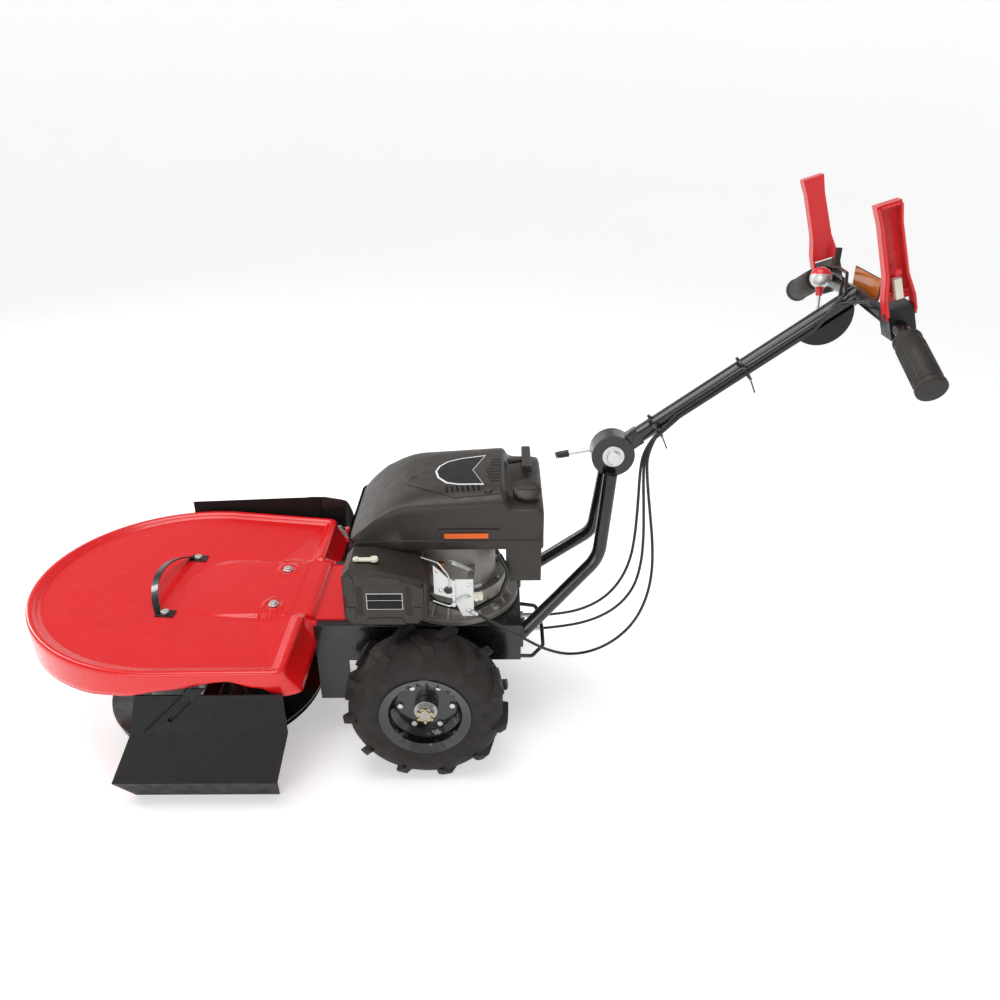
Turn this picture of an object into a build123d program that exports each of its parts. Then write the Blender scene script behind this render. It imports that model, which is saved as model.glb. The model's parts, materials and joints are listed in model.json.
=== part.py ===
from build123d import *
import os
from math import atan2, cos, degrees, pi, radians, sin, tan

os.makedirs("parts", exist_ok=True)

# ---------------------------------------------------------------- driving dimensions, mm
# +X points to the handlebar, +Y to the machine's right-hand side, +Z up.
# The origin lies on the ground under the middle of the machine; the wheel axle crosses X = 0.

running = 0.05  # radial clearance of a shaft in its bore
free_gap = 0.3  # gap between moving neighbours
sheet = 4.0  # chassis plate
thin_sheet = 2.0  # pressed cover

tyre_radius = 165.0
tyre_width = 108.0
tread_depth = 11.0
lug_count = 11
rim_radius = 92.0
bead_radius = 76.0
rim_wall = 3.0
wheel_offset = 218.0  # middle of the machine to the middle of a tyre
web_offset = 12.0  # rim web, outboard of the tyre's middle
axle_radius = 12.5
hub_radius = 24.0
hub_flange_radius = 59.0
rim_bolt_circle = 52.5
rim_bolt_count = 6

chassis_front = -235.0
chassis_rear = 192.0
chassis_half_width = 130.0
chassis_top = 287.0
chassis_bottom = 200.0
cross_plate_z = 221.0
front_apron_bottom = 100.0
front_apron_rear = -168.0

arm_front = -600.0
arm_rear = -150.0
arm_base_z = 232.0

drum_x = -495.0
drum_disc_radius = 235.0
drum_disc_z = 50.0
drum_disc_thickness = 5.0
drum_neck_radius = 90.0
spindle_radius = 12.5
bearing_radius = 26.0
bearing_width = 15.0
spindle_housing_radius = 35.0
drum_pulley_radius = 60.0
knife_pin_radius = 6.0
knife_circle = 222.0
knife_reach = 76.0
knife_thickness = 3.0
skid_radius = 232.0
skid_depth = 38.0
skid_wall = 4.0

deck_centre_x = -516.9
deck_radius = 325.0
deck_corner_x = -254.0
deck_corner_y = 307.0
deck_rear_z = 306.0
deck_tilt = 3.0
deck_bead = 14.0
deck_dish = 16.0
tongue_half_width = 108.0
tongue_front = -420.0
tongue_rear = -240.0
tongue_top = 300.0
tongue_tail = -132.0

board_y = 320.0
board_sheet = 3.0
board_top = 266.0
board_bend = 173.0
board_edge_y = 340.0
board_edge_z = 65.0
board_lip_y = 307.0
board_lip_z = 2.0
board_carrier_x = -400.0
carrier_width = 30.0
carrier_z = 246.0
carrier_thickness = 5.0
right_board_y = 334.0
right_board_front = -620.0
right_board_rear = -300.0
right_board_top = 352.0
curtain_thickness = 4.0

crank_x = 55.0
crank_radius = 12.5
sump_radius = 132.0
sump_flange = 12.0
crankcase_radius = 105.0
crankcase_neck = 84.0
crankcase_top = 466.0
flywheel_radius = 88.0
flywheel_z = 476.0
engine_pulley_radius = 38.0
drum_belt_z = 262.0
drive_belt_z = 240.0
drum_groove_radius = 33.0
drive_groove_radius = 30.0
belt_width = 10.0
belt_height = 8.0

shroud_wall = 4.0
shroud_half_width = 130.0
shroud_bottom = 466.0

gearbox_x = -50.0
gearbox_pulley_radius = 60.0
gearbox_half_width = 36.0
gearbox_wall = 6.0
worm_bore_radius = 10.0
wheel_gear_radius = 36.0
tooth_gap = 0.4

pivot_x = 376.0
pivot_z = 617.0
pivot_bolt_radius = 8.0
pivot_disc_radius = 43.0
pivot_disc_half = 15.0
cheek_thickness = 7.0
fork_tube_radius = 14.0
upper_tube_radius = 17.0
bar_tube_radius = 12.5
bar_x = 812.0
bar_z = 933.0
bar_bend_y = 200.0
bar_bend_z = 921.0
bar_end_y = 330.0
bar_end_x = 815.0
bar_end_z = 864.0
grip_radius = 24.0
grip_length = 122.0
grip_cap_radius = 25.0

lever_x = 812.0
lever_y = 180.0
lever_pivot_z = 944.0
lever_length = 182.0
lever_lean = 17.5
lever_pin_radius = 5.0
lever_width = 36.0
lever_wall = 3.5

blade_idler_stud = (-165.0, 100.0)
drive_idler_stud = (crank_x - 5.0, -100.0)
idler_stud_radius = 5.0
cover_bolt_x = -328.0
cover_bolt_y = 70.0
rope_guide_start = (150.0, 44.0, 575.0)
rope_guide_end = (168.0, 50.0, 575.0)
rope_guide_radius = 8.0
rope_end = (198.0, 60.0, 575.0)
rope_radius = 6.0

cable_diameter = 6.0
shift_pivot_local = (452.0, 0, -24.0)  # along, across and above the upper tube


def cylinder_between(start, end, radius, mode=Mode.ADD):
    """Adds or cuts a round bar from start to end."""
    axis = Vector(*end) - Vector(*start)
    with Locations(Plane(origin=start, z_dir=axis)):
        Cylinder(radius, axis.length, align=(Align.CENTER, Align.CENTER, Align.MIN), mode=mode)


def box_between(low, high, mode=Mode.ADD):
    """Adds or cuts a box given by its lowest and highest corners."""
    middle = [(a + b) / 2 for a, b in zip(low, high)]
    size = [b - a for a, b in zip(low, high)]
    with Locations(tuple(middle)):
        Box(*size, mode=mode)


def save(part, name):
    """Labels a finished piece and writes it to its own file."""
    part.label = name
    export_step(part, f"parts/{name}.step")


# ---------------------------------------------------------------- wheels and axle

axle_end = wheel_offset + 47.0
hub_face = wheel_offset + web_offset - rim_wall
nut_height = 12.0
hub_end = axle_end - nut_height - 3.0

with BuildPart() as axle_shaft:
    cylinder_between((0, -axle_end, tyre_radius), (0, axle_end, tyre_radius), axle_radius)
    for side in (-1, 1):
        hub_start = side * (hub_face - 32.0)
        cylinder_between((0, hub_start, tyre_radius), (0, side * hub_end, tyre_radius), hub_radius)
        flange_start = side * (hub_face - 6.0)
        cylinder_between((0, flange_start, tyre_radius), (0, side * hub_face, tyre_radius), hub_flange_radius)
save(axle_shaft.part, "axle_shaft")


def rim(side):
    """A drop-centre rim with a flat web, open to the outside."""
    half = tyre_width / 2 - 4.0
    web = web_offset
    drop = bead_radius - 12.0
    with BuildPart() as body:
        with BuildSketch(Plane(origin=(0, 0, 0), x_dir=(1, 0, 0), z_dir=(0, 0, 1))):
            with BuildLine():
                outer = [
                    (rim_radius, -half),
                    (bead_radius, -half + 6.0),
                    (bead_radius, -half + 26.0),
                    (drop, -half + 36.0),
                    (drop, web - 14.0),
                    (drop, half - 36.0),
                    (bead_radius, half - 26.0),
                    (bead_radius, half - 6.0),
                    (rim_radius, half),
                ]
                inner = [(r - rim_wall, y) for r, y in reversed(outer)]
                inner[0] = (rim_radius - 1.0, half + 1.5)
                inner[-1] = (rim_radius - 1.0, -half - 1.5)
                Polyline(*outer, *inner, close=True)
            make_face()
        revolve(axis=Axis.Y)
        with BuildSketch(Plane.XZ.offset(-web)):
            Circle(drop - 1.0)
            Circle(hub_radius + free_gap, mode=Mode.SUBTRACT)
            with PolarLocations(rim_bolt_circle, rim_bolt_count):
                Circle(4.2, mode=Mode.SUBTRACT)
        extrude(amount=rim_wall)
    turned = body.part if side > 0 else body.part.rotate(Axis.Z, 180)
    return Pos(0, side * wheel_offset, tyre_radius) * turned


def tyre(side):
    """A farm tyre: a hollow carcass with slanted lugs in two rows."""
    half = tyre_width / 2
    carcass = tyre_radius - tread_depth
    wall = 8.0
    bead = half - 10.3
    with BuildPart() as body:
        with BuildSketch():
            with BuildLine():
                Line((bead_radius, bead), (rim_radius + 1.0, bead + 5.6))
                Spline((rim_radius + 1.0, bead + 5.6), (118.0, half), (carcass - 8.0, half - 12.0))
                Line((carcass - 8.0, half - 12.0), (carcass, half - 24.0))
                Line((carcass, half - 24.0), (carcass, 0))
                Line((carcass, 0), (carcass - wall - 2, 0))
                Line((carcass - wall - 2, 0), (carcass - wall - 2, half - 26.0))
                Line((carcass - wall - 2, half - 26.0), (118.0, half - wall))
                Line((118.0, half - wall), (bead_radius, bead - wall))
                Line((bead_radius, bead - wall), (bead_radius, bead))
            make_face()
        revolve(axis=Axis.Y)
        mirror(about=Plane.XZ)
        for row in (-1, 1):
            for lug in range(lug_count):
                turn = 360.0 / lug_count * (lug + (0.5 if row > 0 else 0.0)) + 90.0
                middle = Location((0, 0, 0), (0, turn, 0))
                with Locations(middle * Location((tyre_radius - 14.0, row * 24.0, 0), (row * 32.0, 0, 0))):
                    Box(28.0, half + 6.0, 17.0)
        with BuildSketch(mode=Mode.PRIVATE) as limit:
            with BuildLine():
                Polyline(
                    (100.0, -half),
                    (tyre_radius - 24.0, -half),
                    (tyre_radius, -half + 16.0),
                    (tyre_radius, half - 16.0),
                    (tyre_radius - 24.0, half),
                    (100.0, half),
                    close=True,
                )
            make_face()
            with Locations((88.0, 0)):
                Rectangle(bead_radius - 52.0, tyre_width)
        envelope = revolve(limit.sketch, axis=Axis.Y, mode=Mode.PRIVATE)
        add(envelope, mode=Mode.INTERSECT)
    turned = body.part if side > 0 else body.part.rotate(Axis.Z, 180)
    return Pos(0, side * wheel_offset, tyre_radius) * turned


for side, name in ((-1, "left"), (1, "right")):
    save(rim(side), f"{name}_rim")
    save(tyre(side), f"{name}_tyre")

web_face = wheel_offset + web_offset
with BuildPart() as wheel_fasteners:
    for side in (-1, 1):
        face = Plane(origin=(0, side * web_face, tyre_radius), x_dir=(1, 0, 0), z_dir=(0, side, 0))
        with BuildSketch(face):
            with PolarLocations(rim_bolt_circle, rim_bolt_count):
                RegularPolygon(6.5, 6)
        extrude(amount=5.0)
        with BuildSketch(face.offset(hub_end - web_face)):
            RegularPolygon(17.0, 6)
            Circle(axle_radius, mode=Mode.SUBTRACT)
        extrude(amount=nut_height)
save(wheel_fasteners.part, "wheel_fasteners")

# ---------------------------------------------------------------- chassis, deck arm and gearbox

cross_front = gearbox_x - 50.0
cross_rear = 70.0
inner_half = chassis_half_width - sheet
crank_hole = 48.0
with BuildPart() as chassis_frame:
    box_between(
        (chassis_front, -chassis_half_width, chassis_bottom), (chassis_rear, chassis_half_width, chassis_top)
    )
    box_between(
        (chassis_front, -inner_half, chassis_bottom), (chassis_rear - sheet, inner_half, chassis_top - sheet),
        mode=Mode.SUBTRACT,
    )
    box_between((cross_front, -inner_half, cross_plate_z), (cross_rear, inner_half, cross_plate_z + sheet))
    for side in (-1, 1):
        low, high = sorted((side * inner_half, side * chassis_half_width))
        box_between((chassis_front, low, front_apron_bottom), (front_apron_rear, high, chassis_bottom))
    with Locations((crank_x, 0, chassis_top - sheet / 2)):
        Cylinder(crank_hole, sheet, mode=Mode.SUBTRACT)
    with Locations((gearbox_x, 0, cross_plate_z + sheet / 2)):
        Cylinder(14.0, sheet, mode=Mode.SUBTRACT)
    # pivot stud of the drive idler, standing on the cross plate
    idler_stud_z = cross_plate_z + sheet
    with Locations((*drive_idler_stud, idler_stud_z + 12.0)):
        Cylinder(idler_stud_radius, 24.0)
save(chassis_frame.part, "chassis_frame")

arm_half = inner_half
with BuildPart() as deck_arm:
    box_between((arm_front, -arm_half, arm_base_z), (arm_rear, arm_half, chassis_top - sheet))
    box_between(
        (arm_front + sheet, -arm_half + sheet, arm_base_z + sheet),
        (arm_rear, arm_half - sheet, chassis_top - sheet),
        mode=Mode.SUBTRACT,
    )
    with Locations((drum_x, 0, arm_base_z + sheet / 2)):
        Cylinder(bearing_radius + 1.0, sheet, mode=Mode.SUBTRACT)
    # pivot stud of the blade idler, standing on the base plate
    with Locations((*blade_idler_stud, arm_base_z + sheet + 15.0)):
        Cylinder(idler_stud_radius, 30.0)
    # two posts that the cover is bolted to
    for side in (-1, 1):
        box_between(
            (cover_bolt_x - 10.0, side * cover_bolt_y - 5.0, arm_base_z + sheet),
            (cover_bolt_x + 10.0, side * cover_bolt_y + 5.0, chassis_top + 1.0),
        )
save(deck_arm.part, "deck_arm")

gearbox_low = 112.0
gearbox_front = gearbox_x - 32.0
gearbox_rear = 52.0
gearbox_top = cross_plate_z
with BuildPart() as gearbox_housing:
    box_between(
        (gearbox_front, -gearbox_half_width, gearbox_low), (gearbox_rear, gearbox_half_width, gearbox_top)
    )
    box_between(
        (gearbox_front + gearbox_wall, -gearbox_half_width + gearbox_wall, gearbox_low + gearbox_wall),
        (gearbox_rear - gearbox_wall, gearbox_half_width - gearbox_wall, gearbox_top - gearbox_wall),
        mode=Mode.SUBTRACT,
    )
    with Locations(Location((0, 0, tyre_radius), (90, 0, 0))):
        Cylinder(axle_radius + 12.0, 4 * gearbox_half_width)
        Cylinder(axle_radius + 12.0, 2 * (gearbox_half_width - gearbox_wall), mode=Mode.SUBTRACT)
        Cylinder(axle_radius + 6.0, 4 * gearbox_half_width, mode=Mode.SUBTRACT)
    with Locations((gearbox_x, 0, gearbox_top - gearbox_wall / 2)):
        Cylinder(13.0, gearbox_wall, mode=Mode.SUBTRACT)
save(gearbox_housing.part, "gearbox_housing")

bush_length = 20.0
with BuildPart() as bearings:
    for side in (-1, 1):
        middle = side * (2 * gearbox_half_width - bush_length / 2)
        with Locations(Location((0, middle, tyre_radius), (90, 0, 0))):
            Cylinder(axle_radius + 6.0, bush_length)
            Cylinder(axle_radius + running, bush_length, mode=Mode.SUBTRACT)
    for low in (arm_base_z - bearing_width - 5.0, 126.0):
        with Locations((drum_x, 0, low + bearing_width / 2)):
            Cylinder(bearing_radius, bearing_width)
            Cylinder(spindle_radius + running, bearing_width, mode=Mode.SUBTRACT)
    with Locations((gearbox_x, 0, gearbox_top - gearbox_wall / 2)):
        Cylinder(13.0, gearbox_wall)
        Cylinder(worm_bore_radius + running, gearbox_wall, mode=Mode.SUBTRACT)
save(bearings.part, "bearings")

with BuildPart() as worm_wheel:
    with Locations(Location((0, 0, tyre_radius), (90, 0, 0))):
        Cylinder(wheel_gear_radius, 22.0)
        Cylinder(axle_radius, 22.0, mode=Mode.SUBTRACT)
save(worm_wheel.part, "worm_wheel")


def pulley(x, bore, grooves, radius, low, high):
    """A V-belt pulley; each groove is (height, bottom radius)."""
    with BuildPart() as body:
        with Locations((x, 0, (low + high) / 2)):
            Cylinder(radius, high - low)
        for height, bottom in grooves:
            with BuildSketch(Plane(origin=(x, 0, height), x_dir=(1, 0, 0), z_dir=(0, -1, 0))):
                with BuildLine():
                    Polyline(
                        (bottom, -4.0), (radius + 1.0, -7.0), (radius + 1.0, 7.0), (bottom, 4.0), close=True
                    )
                make_face()
            revolve(axis=Axis((x, 0, 0), (0, 0, 1)), mode=Mode.SUBTRACT)
        with Locations((x, 0, (low + high) / 2)):
            Cylinder(bore, high - low, mode=Mode.SUBTRACT)
    return body.part


gearbox_groove = gearbox_pulley_radius - belt_height
drum_groove = drum_pulley_radius - belt_height
worm_foot = gearbox_low + gearbox_wall + free_gap
worm_face = -gearbox_x - wheel_gear_radius - tooth_gap
with BuildPart() as worm_shaft:
    cylinder_between((gearbox_x, 0, worm_foot), (gearbox_x, 0, drive_belt_z + 12.0), worm_bore_radius)
    cylinder_between((gearbox_x, 0, tyre_radius - 20.0), (gearbox_x, 0, tyre_radius + 20.0), worm_face)
    add(pulley(gearbox_x, worm_bore_radius, [(drive_belt_z, gearbox_groove)], gearbox_pulley_radius,
               drive_belt_z - 9.0, drive_belt_z + 9.0))
save(worm_shaft.part, "worm_shaft")
save(
    pulley(crank_x, crank_radius, [(drum_belt_z, drum_groove_radius), (drive_belt_z, drive_groove_radius)],
           engine_pulley_radius, drive_belt_z - 10.0, drum_belt_z + 10.0),
    "engine_pulley",
)


def belt(x_a, radius_a, x_b, radius_b, height):
    """A slack V-belt round two pulleys, standing clear of their grooves."""
    clear = 0.6
    with BuildPart() as body:
        with BuildSketch(Plane.XY.offset(height - belt_width / 2 + 1.0)):
            with BuildSketch(mode=Mode.PRIVATE) as ends:
                with Locations((x_a, 0)):
                    Circle(radius_a + clear)
                with Locations((x_b, 0)):
                    Circle(radius_b + clear)
            inner = make_hull(ends.sketch.edges(), mode=Mode.PRIVATE)
            offset(inner, amount=belt_height - 1.5)
            add(inner, mode=Mode.SUBTRACT)
        extrude(amount=belt_width - 2.0)
    return body.part


save(belt(crank_x, drum_groove_radius, drum_x, drum_groove, drum_belt_z), "drum_belt")
save(belt(crank_x, drive_groove_radius, gearbox_x, gearbox_groove, drive_belt_z), "drive_belt")


# ---------------------------------------------------------------- cutting unit

with BuildPart() as spindle_housing:
    with Locations((drum_x, 0, (arm_base_z + 120.0) / 2)):
        Cylinder(spindle_housing_radius, arm_base_z - 120.0)
    with Locations((drum_x, 0, arm_base_z - 4.0)):
        Cylinder(62.0, 8.0)
    with Locations((drum_x, 0, (arm_base_z + 126.0) / 2)):
        Cylinder(bearing_radius, arm_base_z - 126.0, mode=Mode.SUBTRACT)
    with Locations((drum_x, 0, 123.0)):
        Cylinder(16.0, 8.0, mode=Mode.SUBTRACT)
save(spindle_housing.part, "spindle_housing")

spindle_top = drum_belt_z + 14.0
spindle_foot = 22.0
with BuildPart() as drum_spindle:
    cylinder_between((drum_x, 0, spindle_foot), (drum_x, 0, spindle_top), spindle_radius)
    add(pulley(drum_x, spindle_radius, [(drum_belt_z, drum_groove)], drum_pulley_radius,
               drum_belt_z - 11.0, drum_belt_z + 11.0))
save(drum_spindle.part, "drum_spindle")

disc_top = drum_disc_z + drum_disc_thickness
knife_angles = (90.0, 270.0)
knife_z = drum_disc_z - 1.0 - knife_thickness
with BuildPart() as cutter_drum:
    with BuildSketch(Plane(origin=(drum_x, 0, 0), x_dir=(1, 0, 0), z_dir=(0, -1, 0))):
        with BuildLine():
            Polyline(
                (spindle_radius, drum_disc_z),
                (drum_disc_radius, drum_disc_z),
                (drum_disc_radius, disc_top),
                (150.0, disc_top + 12.0),
                (drum_neck_radius + 12.0, 120.0),
                (drum_neck_radius, 170.0),
                (drum_neck_radius, 212.0),
                (drum_neck_radius - 3.0, 212.0),
                (drum_neck_radius - 3.0, 170.0),
                (drum_neck_radius + 8.0, 118.0),
                (144.0, disc_top + 8.0),
                (148.0, disc_top),
                (34.0, disc_top),
                (26.0, 110.0),
                (spindle_radius, 110.0),
                close=True,
            )
        make_face()
    revolve(axis=Axis((drum_x, 0, 0), (0, 0, 1)))
    with Locations(Location((drum_x, 0, 0))):
        with PolarLocations(knife_circle, 2, start_angle=knife_angles[0]):
            with Locations((0, 0, drum_disc_z - 3.0)):
                Cylinder(knife_pin_radius, 6.0)
save(cutter_drum.part, "cutter_drum")

for index, angle in enumerate(knife_angles):
    with BuildPart() as knife:
        with BuildSketch(Plane.XY.offset(knife_z)):
            with Locations((knife_reach / 2 - 7.0, 0)):
                Rectangle(knife_reach + 14.0 - 14.0, 40.0)
            Circle(20.0)
            Circle(knife_pin_radius + running, mode=Mode.SUBTRACT)
        extrude(amount=knife_thickness)
        chamfer(knife.edges().filter_by(Axis.Z).sort_by(Axis.X)[-2:], 8.0)
    placed = Pos(drum_x, 0, 0) * Rot(0, 0, angle) * Pos(knife_circle, 0, 0) * knife.part
    save(placed, f"knife_{index + 1}")

skid_hub = 30.0
skid_hub_top = skid_depth + 6.0
with BuildPart() as skid_dish:
    with BuildSketch(Plane(origin=(drum_x, 0, 0), x_dir=(1, 0, 0), z_dir=(0, -1, 0))):
        with BuildLine():
            Polyline(
                (0, 0),
                (130.0, 0),
                (200.0, 12.0),
                (skid_radius, skid_depth),
                (skid_radius - 5.0, skid_depth + 2.0),
                (197.0, 12.0 + skid_wall),
                (129.0, skid_wall),
                (skid_hub, skid_wall),
                (skid_hub, skid_hub_top),
                (0, skid_hub_top),
                close=True,
            )
        make_face()
    revolve(axis=Axis((drum_x, 0, 0), (0, 0, 1)))
    with Locations((drum_x, 0, (spindle_foot - 0.5 + skid_hub_top) / 2)):
        Cylinder(spindle_radius + running, skid_hub_top - spindle_foot + 0.5, mode=Mode.SUBTRACT)
save(skid_dish.part, "skid_dish")


def idler_arm(pivot, roller, arm_z, roller_low, roller_height, roller_radius):
    """A flat arm with a bore at its pivot and a roller on its free end."""
    reach = Vector(roller[0] - pivot[0], roller[1] - pivot[1], 0)
    plane = Plane(origin=(pivot[0], pivot[1], arm_z), x_dir=reach, z_dir=(0, 0, 1))
    with BuildPart() as body:
        with BuildSketch(plane):
            with Locations((reach.length / 2, 0)):
                SlotCenterToCenter(reach.length, 20.0)
            Circle(idler_stud_radius + running, mode=Mode.SUBTRACT)
        extrude(amount=5.0)
        with BuildSketch(plane):
            with Locations((reach.length, 0)):
                Circle(5.0)
        extrude(amount=roller_low - arm_z)
        with BuildSketch(plane.offset(roller_low - arm_z)):
            with Locations((reach.length, 0)):
                Circle(roller_radius)
        extrude(amount=roller_height)
    return body.part


save(idler_arm(blade_idler_stud, (-228.0, 75.5), arm_base_z + sheet + 1.0, drum_belt_z - 9.0, 18.0, 18.0),
     "blade_idler")
save(idler_arm(drive_idler_stud, (9.0, -67.5), idler_stud_z + 0.5, drive_belt_z - 7.0, 14.0, 14.0),
     "drive_idler")

# ---------------------------------------------------------------- deck cover, strap and boards

deck_plane = Plane(
    origin=(deck_corner_x, 0, deck_rear_z),
    x_dir=(cos(radians(deck_tilt)), 0, -sin(radians(deck_tilt))),
    z_dir=(sin(radians(deck_tilt)), 0, cos(radians(deck_tilt))),
)
deck_centre = (deck_centre_x - deck_corner_x) / cos(radians(deck_tilt))


def deck_outline(inset):
    """The deck's plan shape on its tilted plane, drawn in by inset."""
    with BuildSketch() as outline:
        with BuildLine():
            Polyline((deck_centre, deck_radius), (0, deck_corner_y), (0, -deck_corner_y),
                     (deck_centre, -deck_radius))
            ThreePointArc((deck_centre, -deck_radius), (deck_centre - deck_radius, 0),
                          (deck_centre, deck_radius))
        make_face()
        if inset:
            offset(amount=-inset, kind=Kind.INTERSECTION)
    return outline.sketch


skirt_depth = 62.0
with BuildPart() as deck_cover:
    with BuildSketch(deck_plane):
        add(deck_outline(0))
    extrude(amount=-skirt_depth)
    with BuildSketch(deck_plane):
        add(deck_outline(deck_bead))
    extrude(amount=-deck_dish, mode=Mode.SUBTRACT)
    with BuildSketch(deck_plane.offset(-deck_dish - thin_sheet)):
        add(deck_outline(thin_sheet))
    extrude(amount=-skirt_depth, mode=Mode.SUBTRACT)
    with BuildSketch(deck_plane.offset(-thin_sheet)):
        add(deck_outline(thin_sheet))
        add(deck_outline(deck_bead - thin_sheet), mode=Mode.SUBTRACT)
    extrude(amount=-deck_dish, mode=Mode.SUBTRACT)
    # the wavy lower edge of the skirt
    with BuildSketch(Plane.XZ):
        with BuildLine():
            Spline(
                (-900, 262), (-640, 262), (-560, 268), (-477, 280), (-364, 293), (-305, 274), (-262, 250)
            )
            Polyline((-262, 250), (-250, 247), (-200, 247), (-200, 150), (-900, 150), (-900, 262))
        make_face()
    extrude(amount=deck_radius + 20.0, both=True, mode=Mode.SUBTRACT)
    # the raised tongue over the arm, open below, and its tail on the chassis
    box_between(
        (tongue_front, -tongue_half_width, 270.0), (tongue_rear, tongue_half_width, tongue_top + 14.0),
        mode=Mode.SUBTRACT,
    )
    box_between((deck_corner_x - 16.0, -arm_half - 1.0, 230.0),
                (tongue_rear, arm_half + 1.0, chassis_top), mode=Mode.SUBTRACT)
    with BuildSketch(Plane.XZ):
        with BuildLine():
            Polyline(
                (tongue_front - 1.0, 300.0), (tongue_front + 8.0, 303.0), (tongue_rear, tongue_top),
                (tongue_rear + 6.0, chassis_top + 3.0), (tongue_tail, chassis_top + 3.0),
                (tongue_tail, chassis_top), (tongue_rear + 3.0, chassis_top),
                (tongue_rear - 2.0, tongue_top - 2.5), (tongue_front - 1.0, 297.0), close=True,
            )
        make_face()
    extrude(amount=tongue_half_width, both=True)
    for side in (-1, 1):
        low, high = sorted((side * tongue_half_width, side * (tongue_half_width - thin_sheet)))
        box_between((tongue_front, low, chassis_top + 0.5), (tongue_rear, high, tongue_top - 1.0))
        with Locations((cover_bolt_x, side * cover_bolt_y, 296.0)):
            Cylinder(5.0, 40.0, mode=Mode.SUBTRACT)
save(deck_cover.part, "deck_cover")

strap_x = -541.0
strap_y = 111.0
strap_z = deck_rear_z - deck_dish + (deck_corner_x - strap_x) * tan(radians(deck_tilt))
with BuildPart() as carry_handle:
    with BuildLine():
        ThreePointArc((strap_x - 14.0, -strap_y, strap_z + 5.0), (strap_x - 42.0, 0, strap_z + 38.0),
                      (strap_x - 14.0, strap_y, strap_z + 5.0))
    with BuildSketch(Plane(origin=(strap_x - 14.0, -strap_y, strap_z + 5.0), x_dir=(1, 0, 0),
                           z_dir=(-0.3, 0.75, 0.6))):
        Rectangle(14.0, 3.5)
    sweep()
    for side in (-1, 1):
        with Locations(Location((strap_x, side * strap_y, strap_z + 2.2), (0, deck_tilt, 0))):
            Box(38.0, 24.0, 3.0)
save(carry_handle.part, "carry_handle")

with BuildPart() as left_board:
    with BuildSketch(Plane.YZ.offset(-620.0)):
        with BuildLine():
            outer = [
                (-board_y, board_top),
                (-board_y, board_bend),
                (-board_edge_y, board_edge_z),
                (-board_lip_y, board_lip_z),
            ]
            inner = [
                (-board_lip_y + board_sheet, board_lip_z), (-board_edge_y + board_sheet, board_edge_z + 1.5),
                (-board_y + board_sheet, board_bend + 0.5), (-board_y + board_sheet, board_top),
            ]
            Polyline(*outer, *inner, close=True)
        make_face()
    extrude(amount=370.0)
    with BuildSketch(Plane.XZ, mode=Mode.PRIVATE) as board_side:
        with BuildLine():
            Polyline(
                (-535, board_top), (-258, board_top), (-258, board_bend), (-287, board_edge_z),
                (-297, board_lip_z), (-587, board_lip_z), (-611, board_edge_z), (-560, board_bend),
                close=True,
            )
        make_face()
    extrude(board_side.sketch, amount=400.0, both=True, mode=Mode.INTERSECT)
    # the slotted brace on the outside of the board
    with BuildSketch(Plane.XZ.offset(board_y)):
        with BuildLine():
            Polyline((-532, 178), (-498, 178), (-398, 284), (-426, 284), close=True)
        make_face()
        with Locations(Location((-455, 233), 46.6)):
            SlotOverall(70.0, 9.0, mode=Mode.SUBTRACT)
    extrude(amount=4.0)
    # the carrier that bolts the board to the arm
    box_between(
        (board_carrier_x - carrier_width / 2, -board_y + board_sheet, carrier_z),
        (board_carrier_x + carrier_width / 2, -arm_half, carrier_z + carrier_thickness),
    )
save(left_board.part, "left_board")

with BuildPart() as right_board:
    with BuildSketch(Plane.XZ.offset(-right_board_y)):
        with BuildLine():
            Polyline(
                (right_board_front, 62.0), (right_board_rear - 20.0, 62.0), (right_board_rear, 90.0),
                (right_board_rear, right_board_top), (right_board_front, right_board_top - 12.0), close=True,
            )
        make_face()
    extrude(amount=-board_sheet)
    box_between(
        (board_carrier_x - carrier_width / 2, arm_half, carrier_z),
        (board_carrier_x + carrier_width / 2, right_board_y, carrier_z + carrier_thickness),
    )
save(right_board.part, "right_board")

curtain_front = right_board_rear - 30.0
curtain_y = right_board_y + board_sheet + curtain_thickness / 2
with BuildPart() as grass_curtain:
    with BuildLine():
        FilletPolyline(
            (curtain_front, curtain_y), (-232.0, curtain_y), (-190.0, 250.0), (-190.0, 170.0), radius=30.0
        )
    with BuildSketch(Plane(origin=(curtain_front, curtain_y, 0), x_dir=(0, 1, 0), z_dir=(1, 0, 0))):
        with Locations((0, 235.0)):
            Rectangle(curtain_thickness, 230.0)
    sweep()
    with BuildSketch(Plane.XZ):
        with BuildLine():
            Polyline(
                (-340, 352), (-300, 352), (-235, 340), (-185, 292), (-170, 292), (-170, 380), (-340, 380),
                close=True,
            )
        make_face()
    extrude(amount=-400.0, mode=Mode.SUBTRACT)
save(grass_curtain.part, "grass_curtain")

# ---------------------------------------------------------------- engine

with BuildPart() as crankcase:
    base = chassis_top
    shoulder = base + 58.0
    cylinder_between((crank_x, 0, base), (crank_x, 0, base + sump_flange), sump_radius)
    cylinder_between((crank_x, 0, base), (crank_x, 0, shoulder), crankcase_radius)
    cylinder_between((crank_x, 0, base), (crank_x, 0, crankcase_top), crankcase_neck)
    cylinder_between(
        (crank_x, 0, base + 10.0), (crank_x, 0, crankcase_top - 14.0), crankcase_neck - 12.0, Mode.SUBTRACT
    )
    cylinder_between((crank_x, 0, base), (crank_x, 0, crankcase_top), crank_radius + running, Mode.SUBTRACT)
save(crankcase.part, "crankcase")

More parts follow.
